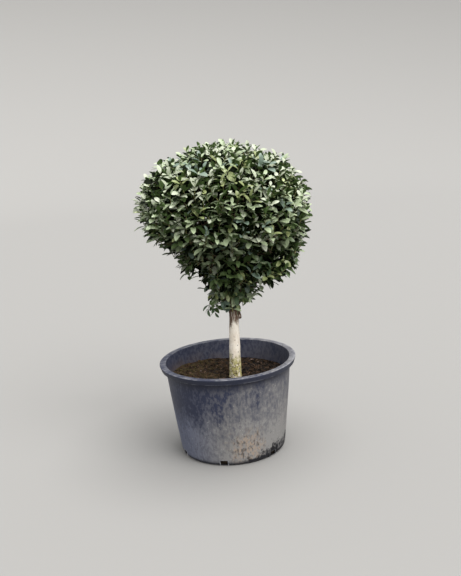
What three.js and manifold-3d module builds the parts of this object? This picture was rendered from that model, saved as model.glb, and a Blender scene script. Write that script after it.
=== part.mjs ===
// A standard lollipop topiary: a small-leaved evergreen on a clear stem, in a round nursery pot.
// Millimetres, +Z up, origin at the centre of the pot's flat underside, front of the plant towards -Y.
import * as THREE from "three";
import { mergeVertices } from "three/addons/utils/BufferGeometryUtils.js";
import Module from "manifold-3d";

const wasm = await Module();
wasm.setup();

const GAP = 0.3;                 // clearance kept between touching pieces
const UP = new THREE.Vector3(0, 0, 1);
const degrees = THREE.MathUtils.degToRad;

// ---- pot -------------------------------------------------------------------------------------
const POT = {
  height: 205,
  sides: 36,
  wall: 2.1,
  floor: 2.5,
  footRadius: 110.5,             // where the flat underside ends
  rollRadius: 114.8,             // middle of the rolled edge that runs round the foot
  rollHeight: 4,
  heelRadius: 117,               // top of that edge, where the plain wall starts
  heelHeight: 12,
  neckRadius: 138.6,             // wall just under the lip
  belly: 0.8,                    // the wall swells this much at half height
  lipRadius: 150,
  lipFootRadius: 147.2,
  lipDrop: 11.5,
  lipThickness: 2.4,
  lipBevel: 1.5,
};
const DRAIN = { count: 6, width: 18, depth: 40, bottom: 3, top: 14, firstAngle: -102 };

// ---- soil ------------------------------------------------------------------------------------
const SOIL = {
  level: 160,
  bankHeight: 7,                 // the surface rises this much towards the left rim
  bankReach: 120,
  ripple: 1.2,
  flatRadius: 26,                // level patch under the trunk
  slopeRadius: 60,
  rings: 4,
};

// ---- trunk -----------------------------------------------------------------------------------
const TRUNK = {
  footX: 15,
  lean: 0.044,                   // sideways drift for each unit of height
  sides: 10,
  rings: 6,
  flareRadius: 14,
  flareHeight: 9,
  lowRadius: 12.6,
  highRadius: 9.8,
  forkHeight: 305,
  headRadius: 11.4,              // swollen knuckle that the boughs leave from
  headTop: 321,
};
const STUB = { inset: 4, clearance: 1.5, y: -2, bottom: 287, top: 306, radius: 3.2, sides: 7 };

// ---- crown -----------------------------------------------------------------------------------
const CROWN_X = 12;              // upright axis of the crown
const CROWN_SPAN = 400;          // longer than any line inside the crown
const EDGE_ROUNDING = 13;        // how softly one mass rolls over towards the next
const UNEVENNESS = 4;
const FRONT_LIKE_LEFT = 1.6;     // above 1, front and back follow the left outline more than the right
// Reach of the foliage from the crown's axis at rising heights, up each side: [height, reach].
const LEFT_OUTLINE = [
  [306, 8], [318, 30], [332, 45], [355, 51], [400, 80], [450, 118], [490, 161], [520, 188],
  [560, 184], [590, 177], [620, 154], [645, 127], [661, 99], [674, 62], [680, 0],
];
const RIGHT_OUTLINE = [
  [306, 24], [318, 36], [335, 52], [352, 68], [372, 94], [392, 138], [412, 166], [470, 177],
  [500, 188], [535, 196], [570, 192], [600, 170], [630, 154], [652, 120], [671, 68], [680, 0],
];
// Dome masses stand round a top mass; skirt masses hang below them, between the boughs.
const DOME_MASSES = [
  { name: "crown_right", angle: 2, reach: 112, height: 524 },
  { name: "crown_back_right", angle: 60, reach: 108, height: 538 },
  { name: "crown_back_left", angle: 121, reach: 112, height: 520 },
  { name: "crown_left", angle: 180, reach: 110, height: 536 },
  { name: "crown_front_left", angle: 239, reach: 112, height: 518 },
  { name: "crown_front_right", angle: 301, reach: 108, height: 532 },
];
const TOP_MASS = { name: "crown_top", angle: 20, reach: 6, height: 588 };
const SKIRT_MASSES = [
  { name: "skirt_right_back", angle: 31, reach: 82, height: 398 },
  { name: "skirt_back", angle: 90, reach: 66, height: 392 },
  { name: "skirt_left_back", angle: 151, reach: 58, height: 400 },
  { name: "skirt_left_front", angle: 209, reach: 58, height: 398 },
  { name: "skirt_front", angle: 270, reach: 66, height: 388 },
  { name: "skirt_right_front", angle: 331, reach: 84, height: 394 },
];
const DOME_DETAIL = 4;
const SKIRT_DETAIL = 3;
const SPRIG = { x: -29, y: -10, z: 315, halfLength: 23, halfWidth: 14, halfHeight: 13 };

// ---- boughs ----------------------------------------------------------------------------------
const BOUGH = { rootHeight: 308, rootRadius: 4.4, tipRadius: 2.6, bow: 10, sides: 6, steps: 4 };
const LEADER = { rootRadius: 5.2, tipRadius: 3.2, sway: 6 };
const SPRIG_TWIG = { rootRadius: 1.8, tipRadius: 1.2, rise: 24 };

const finish = (color, roughness, metalness = 0) =>
  new THREE.MeshStandardMaterial({ color, roughness, metalness });
const potPlastic = finish(0x3d4257, 0.75);
const compost = finish(0x3a2a20, 0.95);
const paleBark = finish(0xcfc5b0, 0.85);
const brownBark = finish(0x6f5a48, 0.9);
const domeLeaves = finish(0x4d6250, 0.6);
const skirtLeaves = finish(0x36483a, 0.65);

// ---- solids ----------------------------------------------------------------------------------
/** Welds a geometry into one closed mesh with its faces pointing out. */
function closed(geometry) {
  const bare = geometry.clone();
  bare.deleteAttribute("normal");
  bare.deleteAttribute("uv");
  const welded = mergeVertices(bare, 1e-3);
  const place = welded.getAttribute("position");
  const corner = (i) => new THREE.Vector3().fromBufferAttribute(place, i);
  const faces = [];
  let volume = 0;
  for (let i = 0; i < welded.index.count; i += 3) {
    const [a, b, c] = [0, 1, 2].map((k) => welded.index.getX(i + k));
    if (a === b || b === c || c === a) continue;
    faces.push([a, b, c]);
    volume += corner(a).dot(corner(b).cross(corner(c)));
  }
  const outward = volume > 0 ? faces : faces.map(([a, b, c]) => [a, c, b]);
  welded.setIndex(outward.flat());
  return welded;
}

function solidOf(geometry) {
  const skin = closed(geometry);
  return new wasm.Manifold(new wasm.Mesh({
    numProp: 3,
    vertProperties: new Float32Array(skin.getAttribute("position").array),
    triVerts: new Uint32Array(skin.index.array),
  }));
}

function geometryOf(solid) {
  const skin = solid.getMesh();
  const geometry = new THREE.BufferGeometry();
  geometry.setAttribute("position", new THREE.BufferAttribute(new Float32Array(skin.vertProperties), 3));
  geometry.setIndex(new THREE.BufferAttribute(new Uint32Array(skin.triVerts), 1));
  return geometry;
}

/** Takes each tool away from a geometry and keeps the largest piece that is left. */
function cutBy(geometry, tools) {
  const rest = tools.reduce((solid, tool) => solid.subtract(solidOf(tool)), solidOf(geometry));
  const pieces = rest.decompose();
  pieces.sort((a, b) => b.volume() - a.volume());
  return geometryOf(pieces[0]);
}

/** Turns an outline of [radius, height] points round the upright axis. */
function turned(outline, sides) {
  const points = outline.map(([radius, height]) => new THREE.Vector2(radius, height));
  return new THREE.LatheGeometry(points, sides).rotateX(Math.PI / 2);
}

/** A round limb along a curve, its radius given by a function of the way along, 0 to 1. */
function limb(curve, radiusAt, sides, steps) {
  const geometry = new THREE.CylinderGeometry(1, 1, 1, sides, steps);
  const frames = curve.computeFrenetFrames(steps);
  const place = geometry.getAttribute("position");
  for (let i = 0; i < place.count; i += 1) {
    const way = place.getY(i) + 0.5;
    const step = Math.round(way * steps);
    const spot = curve.getPointAt(way);
    spot.addScaledVector(frames.normals[step], place.getX(i) * radiusAt(way));
    spot.addScaledVector(frames.binormals[step], place.getZ(i) * radiusAt(way));
    place.setXYZ(i, spot.x, spot.y, spot.z);
  }
  return geometry;
}

const taper = (from, to, grow = 0) => (way) => THREE.MathUtils.lerp(from, to, way) + grow;

// ---- pot and soil ----------------------------------------------------------------------------
/** Outside radius of the plain wall at a height. */
function wallRadius(height) {
  const slope = (POT.neckRadius - POT.heelRadius) / (POT.height - POT.heelHeight);
  return POT.heelRadius + slope * (height - POT.heelHeight);
}

function potGeometry() {
  const { height, wall, floor, lipRadius, lipFootRadius, lipDrop, lipThickness } = POT;
  const lipFoot = height - lipDrop;
  const flangeUnderside = height - lipThickness;
  const outline = [
    [0, 0],
    [POT.footRadius, 0],
    [POT.rollRadius, POT.rollHeight],
    [POT.heelRadius, POT.heelHeight],
    [wallRadius(height / 2) + POT.belly, height / 2],
    [wallRadius(flangeUnderside), flangeUnderside],
    [lipRadius - lipThickness, flangeUnderside],
    [lipFootRadius - lipThickness, lipFoot],
    [lipFootRadius, lipFoot],
    [lipRadius, height - POT.lipBevel],
    [lipRadius - POT.lipBevel, height],
    [wallRadius(height) - wall, height],
    [wallRadius(height / 2) + POT.belly - wall, height / 2],
    [POT.heelRadius - wall, POT.heelHeight],
    [POT.footRadius, floor],
    [0, floor],
  ];
  const drains = [];
  for (let i = 0; i < DRAIN.count; i += 1) {
    const drain = new THREE.BoxGeometry(DRAIN.depth, DRAIN.width, DRAIN.top - DRAIN.bottom);
    drain.translate(POT.heelRadius, 0, (DRAIN.top + DRAIN.bottom) / 2);
    drains.push(drain.rotateZ(degrees(DRAIN.firstAngle + (i * 360) / DRAIN.count)));
  }
  return cutBy(turned(outline, POT.sides), drains);
}

/** Height of the soil: level at the trunk, banked up towards the left, slightly rippled. */
function soilHeight(x, y) {
  const away = Math.hypot(x - TRUNK.footX, y);
  const rough = THREE.MathUtils.smoothstep(away, SOIL.flatRadius, SOIL.slopeRadius);
  const bank = SOIL.bankHeight * THREE.MathUtils.clamp(-x / SOIL.bankReach, 0, 1);
  const ripple = SOIL.ripple * (Math.sin(x / 17 + 1) * Math.cos(y / 13) + 1);
  return SOIL.level + rough * (bank + ripple);
}

function soilGeometry() {
  const edge = wallRadius(SOIL.level) - POT.wall - GAP;
  const outline = [
    [0, POT.floor + GAP],
    [POT.footRadius - GAP, POT.floor + GAP],
    [POT.heelRadius - POT.wall - GAP, POT.heelHeight + GAP],
  ];
  for (let ring = 0; ring <= SOIL.rings; ring += 1) {
    outline.push([edge * (1 - ring / SOIL.rings), SOIL.level]);
  }
  const geometry = turned(outline, POT.sides);
  const place = geometry.getAttribute("position");
  for (let i = 0; i < place.count; i += 1) {
    if (place.getZ(i) < SOIL.level - 1) continue;
    place.setZ(i, soilHeight(place.getX(i), place.getY(i)));
  }
  return geometry;
}

// ---- trunk -----------------------------------------------------------------------------------
const trunkX = (height) => TRUNK.footX + TRUNK.lean * (height - SOIL.level);

function trunkGeometry(grow = 0) {
  const foot = SOIL.level + GAP;
  const { flareRadius, flareHeight, lowRadius, highRadius, forkHeight, headRadius, headTop } = TRUNK;
  const outline = [[0, foot - grow], [flareRadius + grow, foot - grow]];
  outline.push([(flareRadius + lowRadius) / 2 + grow, foot + flareHeight / 2]);
  for (let ring = 0; ring <= TRUNK.rings; ring += 1) {
    const way = ring / TRUNK.rings;
    const height = THREE.MathUtils.lerp(foot + flareHeight * 2, forkHeight, way);
    outline.push([THREE.MathUtils.lerp(lowRadius, highRadius, way) + grow, height]);
  }
  outline.push([headRadius + grow, (forkHeight + headTop) / 2]);
  outline.push([headRadius * 0.75 + grow, headTop - 2 + grow], [0, headTop + grow]);
  const geometry = turned(outline, TRUNK.sides);
  const place = geometry.getAttribute("position");
  for (let i = 0; i < place.count; i += 1) {
    place.setX(i, place.getX(i) + trunkX(place.getZ(i)));
  }
  return geometry;
}

function stubGeometry() {
  const { inset, clearance, y, bottom, top } = STUB;
  const inside = new THREE.Vector3(trunkX(bottom) + inset, y, bottom);
  const tip = new THREE.Vector3(trunkX(top) + TRUNK.highRadius + clearance, y, top);
  const curve = new THREE.LineCurve3(inside, tip);
  return cutBy(limb(curve, taper(STUB.radius, STUB.radius), STUB.sides, 1), [trunkGeometry(GAP)]);
}

// ---- foliage ---------------------------------------------------------------------------------
function reachAt(outline, height) {
  const next = outline.findIndex(([level]) => level >= height);
  if (next <= 0) return 0;
  const [lowLevel, lowReach] = outline[next - 1];
  const [highLevel, highReach] = outline[next];
  return THREE.MathUtils.mapLinear(height, lowLevel, highLevel, lowReach, highReach);
}

/** Whether a point lies within the crown, whose left and right outlines blend round the axis. */
function inCrown(point) {
  const x = point.x - CROWN_X;
  const rightness = ((1 + x / Math.max(Math.hypot(x, point.y), 1e-6)) / 2) ** FRONT_LIKE_LEFT;
  const left = reachAt(LEFT_OUTLINE, point.z);
  const right = reachAt(RIGHT_OUTLINE, point.z);
  return Math.hypot(x, point.y) < THREE.MathUtils.lerp(left, right, rightness);
}

/** Distance from a point inside the crown to its outside in a direction. */
function distanceOut(from, direction) {
  let inside = 0;
  let outside = CROWN_SPAN;
  for (let distance = 0; distance < outside; distance += CROWN_SPAN / 128) {
    if (!inCrown(from.clone().addScaledVector(direction, distance))) outside = distance;
    else inside = distance;
  }
  for (let halving = 0; halving < 12; halving += 1) {
    const middle = (inside + outside) / 2;
    if (inCrown(from.clone().addScaledVector(direction, middle))) inside = middle;
    else outside = middle;
  }
  return inside;
}

function centreOf({ angle, reach, height }) {
  const turn = degrees(angle);
  return new THREE.Vector3(CROWN_X + reach * Math.cos(turn), reach * Math.sin(turn), height);
}

const unevenAt = (point) => Math.sin(point.x / 19 + 2) * Math.sin(point.y / 16 + 1) * Math.cos(point.z / 21);

const allMasses = [...DOME_MASSES, TOP_MASS, ...SKIRT_MASSES];

/** One mass: the part of the crown nearer to its own centre than to any other, softly rounded. */
function massGeometry(mass, detail, grow = 0) {
  const centre = centreOf(mass);
  const borders = allMasses.filter((other) => other !== mass).map((other) => {
    const across = centreOf(other).sub(centre);
    return { normal: across.clone().normalize(), distance: (across.length() - GAP) / 2 + grow };
  });
  const geometry = closed(new THREE.IcosahedronGeometry(1, detail));
  const place = geometry.getAttribute("position");
  for (let i = 0; i < place.count; i += 1) {
    const direction = new THREE.Vector3().fromBufferAttribute(place, i).normalize();
    const facing = borders.filter((border) => border.normal.dot(direction) > 1e-6);
    const toBorder = Math.min(...facing.map(({ normal, distance }) => distance / normal.dot(direction)));
    const outside = distanceOut(centre, direction);
    const skin = centre.clone().addScaledVector(direction, outside);
    const toSkin = outside - UNEVENNESS * (1 + unevenAt(skin)) / 2 + grow;
    const blend = Math.exp(-toBorder / EDGE_ROUNDING) + Math.exp(-toSkin / EDGE_ROUNDING);
    const length = -EDGE_ROUNDING * Math.log(blend);
    place.setXYZ(i, ...centre.clone().addScaledVector(direction, length).toArray());
  }
  return geometry;
}

function sprigGeometry() {
  const geometry = closed(new THREE.IcosahedronGeometry(1, 1));
  const place = geometry.getAttribute("position");
  for (let i = 0; i < place.count; i += 1) {
    const spot = new THREE.Vector3().fromBufferAttribute(place, i);
    const lump = 1 + 0.12 * Math.sin(5 * spot.x + 1) * Math.cos(4 * spot.y);
    spot.multiply(new THREE.Vector3(SPRIG.halfLength, SPRIG.halfWidth, SPRIG.halfHeight));
    spot.multiplyScalar(lump);
    place.setXYZ(i, spot.x + SPRIG.x, spot.y + SPRIG.y, spot.z + SPRIG.z);
  }
  return geometry;
}

// ---- boughs ----------------------------------------------------------------------------------
const FORK = new THREE.Vector3(trunkX(BOUGH.rootHeight), 0, BOUGH.rootHeight);

/** A curve from the fork to an end point that passes its halfway point by an offset. */
function bowed(end, offset) {
  return new THREE.CatmullRomCurve3([FORK, FORK.clone().lerp(end, 0.5).add(offset), end]);
}

function boughCurve(mass) {
  const end = centreOf(mass);
  const outward = new THREE.Vector3(end.x - FORK.x, end.y, 0).normalize();
  return bowed(end, outward.addScaledVector(UP, -0.5).multiplyScalar(BOUGH.bow));
}

const leaderCurve = () => bowed(centreOf(TOP_MASS), new THREE.Vector3(0, LEADER.sway, 0));
const sprigCurve = () =>
  bowed(new THREE.Vector3(SPRIG.x, SPRIG.y, SPRIG.z), UP.clone().multiplyScalar(SPRIG_TWIG.rise));

// Every limb: its curve, its radii and the mass that it grows into.
const limbs = [
  { name: "bough_leader", curve: leaderCurve(), size: LEADER, mass: TOP_MASS },
  ...DOME_MASSES.map((mass) => ({
    name: mass.name.replace("crown", "bough"), curve: boughCurve(mass), size: BOUGH, mass,
  })),
  { name: "sprig_twig", curve: sprigCurve(), size: SPRIG_TWIG, mass: null },
];

function limbGeometry({ curve, size }, grow = 0) {
  return limb(curve, taper(size.rootRadius, size.tipRadius, grow), BOUGH.sides, BOUGH.steps);
}

/** A limb from the trunk's knuckle to the face of its mass, clear of the limbs listed before it. */
function trimmedLimb(one, index) {
  const target = one.mass ? massGeometry(one.mass, DOME_DETAIL, GAP) : sprigGeometry();
  const earlier = limbs.slice(0, index).map((other) => limbGeometry(other, GAP));
  return cutBy(limbGeometry(one), [trunkGeometry(GAP), target, ...earlier]);
}

// ---- assembly --------------------------------------------------------------------------------
const plant = new THREE.Group();

function add(name, geometry, material) {
  const mesh = new THREE.Mesh(closed(geometry), material);
  mesh.name = name;
  plant.add(mesh);
}

add("pot", potGeometry(), potPlastic);
add("soil", soilGeometry(), compost);
add("trunk", trunkGeometry(), paleBark);
add("pruned_stub", stubGeometry(), brownBark);
limbs.forEach((one, index) => add(one.name, trimmedLimb(one, index), brownBark));
[...DOME_MASSES, TOP_MASS].forEach((mass) => add(mass.name, massGeometry(mass, DOME_DETAIL), domeLeaves));

const grownLimbs = [trunkGeometry(GAP), ...limbs.map((one) => limbGeometry(one, GAP))];
const grownSkirts = SKIRT_MASSES.map((mass) => massGeometry(mass, SKIRT_DETAIL, GAP));
SKIRT_MASSES.forEach((mass) => {
  add(mass.name, cutBy(massGeometry(mass, SKIRT_DETAIL), grownLimbs), skirtLeaves);
});
add("low_sprig", cutBy(sprigGeometry(), [...grownLimbs, ...grownSkirts]), skirtLeaves);

export default plant;
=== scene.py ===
"""Looks of a potted lollipop topiary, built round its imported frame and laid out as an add-on."""

import math

import bmesh
import bpy
import numpy as np
from bpy.props import FloatProperty, FloatVectorProperty, IntProperty, PointerProperty
from bpy.types import Operator, Panel, PropertyGroup
from mathutils import Matrix, Vector, noise
from mathutils.bvhtree import BVHTree


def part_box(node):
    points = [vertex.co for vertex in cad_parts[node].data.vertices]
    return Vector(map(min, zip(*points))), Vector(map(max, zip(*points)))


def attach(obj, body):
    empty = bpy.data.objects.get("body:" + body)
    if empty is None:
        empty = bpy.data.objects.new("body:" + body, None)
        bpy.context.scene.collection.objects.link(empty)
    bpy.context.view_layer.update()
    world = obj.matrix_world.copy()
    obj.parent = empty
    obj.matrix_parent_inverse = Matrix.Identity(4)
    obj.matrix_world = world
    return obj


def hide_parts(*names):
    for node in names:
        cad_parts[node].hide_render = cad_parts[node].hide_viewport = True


bl_info = {
    "name": "Potted lollipop topiary",
    "version": (1, 0, 0),
    "blender": (4, 5, 0),
    "location": "3D View > Sidebar > Topiary",
    "description": "Builds the pot, soil, wood, twigs and leaves of a lollipop topiary",
    "category": "Add Mesh",
}

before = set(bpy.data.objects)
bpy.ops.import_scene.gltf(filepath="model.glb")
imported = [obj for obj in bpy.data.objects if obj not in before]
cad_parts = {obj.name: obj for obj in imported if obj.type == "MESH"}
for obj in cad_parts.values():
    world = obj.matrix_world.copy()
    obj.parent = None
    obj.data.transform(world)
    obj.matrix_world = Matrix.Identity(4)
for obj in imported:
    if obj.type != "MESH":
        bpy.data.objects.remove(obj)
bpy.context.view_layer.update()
MM = 0.001
UP = Vector((0.0, 0.0, 1.0))
# Where the stem leaves the soil, to the right of the pot's axis.
STEM_X = 15 * MM
DOME = [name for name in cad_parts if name.startswith("crown_")]
SKIRT = [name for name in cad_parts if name.startswith("skirt_")]
BOUGHS = [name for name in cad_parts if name.startswith("bough_")]


def linear(code):
    """A colour code such as 4D6250 as linear red, green and blue."""
    parts = [int(code[i : i + 2], 16) / 255 for i in (0, 2, 4)]
    return tuple(p / 12.92 if p <= 0.04045 else ((p + 0.055) / 1.055) ** 2.4 for p in parts)


def size(name, description, default):
    """A setting that is a length."""
    return FloatProperty(name=name, description=description, default=default, unit="LENGTH")


def colour(name, description, code):
    """A setting that is a colour."""
    return FloatVectorProperty(
        name=name, description=description, default=linear(code), subtype="COLOR", min=0, max=1
    )


def angle(name, description, degrees):
    """A setting that is an angle, given in degrees."""
    return FloatProperty(
        name=name, description=description, default=math.radians(degrees), subtype="ANGLE"
    )


def strength(name, description, default):
    """A setting that is the strength of a light."""
    return FloatProperty(name=name, description=description, default=default, min=0)


# ---- sizes and colours ------------------------------------------------------------------------
class PotSettings(PropertyGroup):
    """Sizes and colours of the nursery pot."""

    rim_radius: size("Rim radius", "Outside of the lip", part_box("pot")[1].x)
    height: size("Height", "From the ground to the top of the rim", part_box("pot")[1].z)
    neck_radius: size("Neck radius", "Outside of the wall just under the lip", 138.6 * MM)
    heel_radius: size("Heel radius", "Outside of the wall just above the foot roll", 117 * MM)
    foot_radius: size("Foot radius", "Where the flat underside ends", 110.5 * MM)
    heel_height: size("Heel height", "Height of the foot roll", 12 * MM)
    wall: size("Wall", "Thickness of the wall", 2.1 * MM)
    lip_drop: size("Lip drop", "How far the lip hangs down", 11.5 * MM)
    lip_taper: size("Lip taper", "How far the lip draws in towards its lower edge", 2.8 * MM)
    drain_width: size("Drain width", "Width of a drain", 18 * MM)
    drain_low: size("Drain sill", "Height of a drain's lower edge", 3 * MM)
    drain_high: size("Drain head", "Height of a drain's upper edge", 14 * MM)
    plastic: colour("Plastic", "Unfaded plastic", "30354A")
    # Also carries the painted bounce light low on the wall.
    faded: colour("Faded", "Chalky, sun-bleached plastic", "8C8A88")
    worn: colour("Worn", "Scuffed edges", "A9A9AC")
    dirt: colour("Dirt", "Dried mud splashed on the wall", "A39282")
    strokes: colour("Strokes", "Dark strokes in the mud", "45403E")
    hazy: colour("Hazy", "Bluish haze on the left of the wall", "787D90")
    chalk: colour("Chalk", "Chalky specks in the haze", "B7B6B4")
    pits: colour("Pits", "Dark specks on the wall", "2E3038")
    # Painted shadow of the lip, laid on the wall under it.
    lip_shadow: colour("Lip shadow", "Painted shadow of the lip on the wall", "1E212D")
    lip: colour("Lip", "Outer face of the lip", "242838")
    # Also the colour of the painted shade on the foot roll.
    grime_and_shade: colour("Grime and shade", "Earth caught round the foot", "1F1F24")
    wet: colour("Wet", "Wet earth at the drain on the right", "0C0C0F")
    inner_haze: colour("Inner haze", "Haze on the inside of the wall", "5E606C")
    film: colour("Film", "Brownish film high up inside the wall", "66574B")
    frayed: colour("Frayed", "Flash round the drains", "74767E")
    smeared: colour("Smeared", "Dirty flash round the drains", "2E2E33")
    # Dirt and painted shade on the drains' cut faces.
    drain_dark: colour("Dark drain", "Cut faces of the drains", "17161A")
    drain_pale: colour("Pale drain", "Paler patches on the cut faces", "2A282A")


class SoilSettings(PropertyGroup):
    """Sizes and colours of the compost."""

    lump: size("Lump", "Height of the lumps in the surface", 2.2 * MM)
    crumbs: IntProperty(name="Crumbs", description="Loose crumbs on the surface", default=1500)
    fibres: IntProperty(name="Fibres", description="Bark and root fibres", default=420)
    seed: IntProperty(name="Seed", description="Seed of the loose bits' places", default=5)
    # Also used for the painted shade on the right of the soil.
    dark: colour("Dark", "Moist compost", "110D0A")
    brown: colour("Brown", "Drier compost", "3C2D1D")
    fibre: colour("Fibre", "Bark and root fibres", "806350")
    moss: colour("Moss", "Thin moss on the left", "5B5730")
    pebble: colour("Pebble", "A pale pebble", "9A8580")


class WoodSettings(PropertyGroup):
    """Sizes and colours of the stem, the boughs and the twigs."""

    grain: size("Grain", "Size of the mesh that holds the bark's relief", 0.9 * MM)
    relief: size("Relief", "Depth of the bark's lumps", 0.55 * MM)
    twig_radius: size("Twig radius", "Radius of the thinnest twigs", 0.75 * MM)
    pale: colour("Pale bark", "Bark in the middle of the stem", "F6EEE0")
    clouded: colour("Clouded bark", "Soft clouds on the pale bark", "C9B69B")
    flecks: colour("Flecks", "Small brown flecks on the pale bark", "8D745B")
    tan: colour("Tan bark", "Bark at the top of the stem", "644F40")
    lichen: colour("Lichen", "Lichen at the foot of the stem", "B0A860")
    stain: colour("Stain", "Brown stains among the lichen", "6A5A35")
    speck: colour("Specks", "Dark specks on the bark", "3E3626")
    twig: colour("Twig bark", "Bark of boughs and twigs", "4E4234")
    twig_pale: colour("Pale twig bark", "Paler patches on the twigs", "7A6A55")
    stub: colour("Stub", "The pruned stub", "3B2E26")
    stub_pale: colour("Pale stub", "Paler patches on the pruned stub", "5B4638")
    green_wood: colour("Green wood", "Bark of young shoots", "94935E")


class LeafSettings(PropertyGroup):
    """Sizes and colours of the leaves."""

    length: size("Leaf length", "Length of a full-grown leaf", 22.5 * MM)
    spacing: size("Shoot spacing", "Least distance between the outermost shoots", 19 * MM)
    inset: size("Inset", "How far shoot tips stay inside the outline of the crown", 13 * MM)
    node_gap: size("Node gap", "Distance between two pairs of leaves on a shoot", 9 * MM)
    seed: IntProperty(name="Seed", description="Seed of the branching rule", default=11)
    leaf_seed: IntProperty(
        name="Leaf seed", description="Seed of the leaves' turns and sizes", default=15
    )
    deep: colour("Deep green", "Dark leaves, common low in the crown", "55683E")
    blue: colour("Blue green", "Older, bluish leaves", "67796A")
    mid: colour("Mid green", "Lighter leaves", "95A380")
    olive: colour("Olive", "Yellowish leaves", "858F5E")
    young: colour("Young", "Young shoots", "939D68")
    waxy: colour("Waxy", "Leaves with a pale bloom", "A7AE97")
    # Painted shade: near-black, nearly glossless leaves deep in the crown and among the older
    # leaves.
    shade: colour("Shade", "Leaves deep in the crown", "0B1402")
    # Partly painted shade: the dull leaves low on the plant and on the sprig under the crown.
    dusky: colour("Dusky", "Dull leaves low on the plant", "425739")
    # Darker than a real underside: partly painted shade, as undersides show where the crown is
    # shaded.
    under: colour("Underside", "Undersides of the leaves", "53693A")


class StageSettings(PropertyGroup):
    """Camera, lights and floor."""

    distance: size("Distance", "From the camera to the plant's axis", 1.6888)
    height: size("Camera height", "Height of the camera", 0.754)
    lens: FloatProperty(name="Lens", description="Focal length in millimetres", default=50)
    pitch: angle("Pitch", "How far the camera looks down", 13.075)
    yaw: angle("Yaw", "Turn of the camera to the right", -0.625)
    roll: angle("Roll", "Tilt of the camera", 4.3)
    floor: colour("Floor", "Seamless pale floor", "8B8A88")
    key: strength("Key", "Strength of the main light", 2.1)
    overhead: strength("Overhead", "Strength of the light overhead", 3.2)
    front: strength("Front", "Strength of the low light in front", 0.7)
    sky: strength("Fill", "Strength of the light all round", 1.0)


# ---- nodes ------------------------------------------------------------------------------------
def feed(tree, socket, value):
    """Links a socket to another one, or sets it to any other value."""
    if isinstance(value, bpy.types.NodeSocket):
        tree.links.new(value, socket)
    else:
        socket.default_value = value


def node(tree, kind, inputs=None, **settings):
    """Adds a node with its settings, and feeds its inputs."""
    made = tree.nodes.new(kind)
    for name, value in settings.items():
        setattr(made, name, value)
    for name, value in (inputs or {}).items():
        feed(tree, made.inputs[name], value)
    return made


def maths(tree, operation, first, second, clamp=False):
    """The result of a Math node, kept between 0 and 1 where clamp says so."""
    inputs = {0: first, 1: second}
    made = node(tree, "ShaderNodeMath", inputs, operation=operation, use_clamp=clamp)
    return made.outputs[0]


def product(tree, first, *others):
    """Masks, lengths or plain numbers multiplied together."""
    for other in others:
        first = maths(tree, "MULTIPLY", first, other)
    return first


def ramp(tree, value, low, high, to_low=0.0, to_high=1.0):
    """Maps a value smoothly from the range low to high onto the range to_low to to_high."""
    inputs = {"Value": value, 1: low, 2: high, 3: to_low, 4: to_high}
    return node(tree, "ShaderNodeMapRange", inputs, interpolation_type="SMOOTHSTEP").outputs[0]


def mixed(tree, mask, first, second):
    """The first colour where a mask is 0 and the second where it is 1."""
    made = node(tree, "ShaderNodeMix", {0: mask}, data_type="RGBA")
    for socket, value in ((6, first), (7, second)):
        given = isinstance(value, bpy.types.NodeSocket)
        feed(tree, made.inputs[socket], value if given else (*value, 1.0))
    return made.outputs[2]


def tinted(tree, base, mask, share, tint):
    """A colour with a tint laid over it by at most a share, where a mask is high."""
    return mixed(tree, product(tree, mask, share), base, tint)


def coordinates(tree, where):
    """Object coordinates one by one: to the right, to the back and up."""
    return node(tree, "ShaderNodeSeparateXYZ", {0: where}).outputs


def distance(tree, where, spot):
    """How far the surface is from a spot."""
    inputs = {0: where, 1: spot}
    return node(tree, "ShaderNodeVectorMath", inputs, operation="DISTANCE").outputs["Value"]


def attribute(tree, name):
    """A number stored in the mesh, vertex by vertex."""
    return node(tree, "ShaderNodeAttribute", attribute_name=name).outputs["Fac"]


def new_group(name, inputs, output, output_kind="NodeSocketFloat"):
    """An empty shader node group with named inputs and one output."""
    tree = bpy.data.node_groups.new(name, "ShaderNodeTree")
    for label, kind, default in inputs:
        socket = tree.interface.new_socket(label, in_out="INPUT", socket_type=kind)
        if default is not None:
            socket.default_value = default
    tree.interface.new_socket(output, in_out="OUTPUT", socket_type=output_kind)
    return tree, tree.nodes.new("NodeGroupInput").outputs, tree.nodes.new("NodeGroupOutput").inputs


def patches_group():
    """Cloudy patches: a mask from noise that can be drawn out along one direction."""
    tree, given, result = new_group(
        "Cloudy patches",
        [
            ("Vector", "NodeSocketVector", None),
            ("Stretch", "NodeSocketVector", (1.0, 1.0, 1.0)),
            ("Scale", "NodeSocketFloat", 20.0),
            ("Low", "NodeSocketFloat", 0.45),
            ("High", "NodeSocketFloat", 0.6),
        ],
        "Mask",
    )
    inputs = {0: given["Vector"], 1: given["Stretch"]}
    stretched = node(tree, "ShaderNodeVectorMath", inputs, operation="MULTIPLY")
    cloud = node(
        tree, "ShaderNodeTexNoise",
        {"Vector": stretched.outputs[0], "Scale": given["Scale"], "Detail": 7.0, "Roughness": 0.6},
    )
    tree.links.new(ramp(tree, cloud.outputs[0], given["Low"], given["High"]), result["Mask"])
    return tree


def specks_group():
    """Scattered specks: a mask of small uneven dots, thinned out by a cloud."""
    tree, given, result = new_group(
        "Scattered specks",
        [
            ("Vector", "NodeSocketVector", None),
            ("Scale", "NodeSocketFloat", 200.0),
            ("Size", "NodeSocketFloat", 0.25),
            ("Share", "NodeSocketFloat", 0.5),
        ],
        "Mask",
    )
    dots = node(
        tree, "ShaderNodeTexVoronoi",
        {"Vector": given["Vector"], "Scale": given["Scale"], "Randomness": 1.0}, feature="F1",
    )
    inner = product(tree, given["Size"], 0.6)
    dot = ramp(tree, dots.outputs["Distance"], inner, given["Size"], 1.0, 0.0)
    pick = node(tree, "ShaderNodeSeparateColor", {0: dots.outputs["Color"]})
    chosen = maths(tree, "LESS_THAN", pick.outputs[0], given["Share"])
    tree.links.new(product(tree, dot, chosen), result["Mask"])
    return tree


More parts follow.
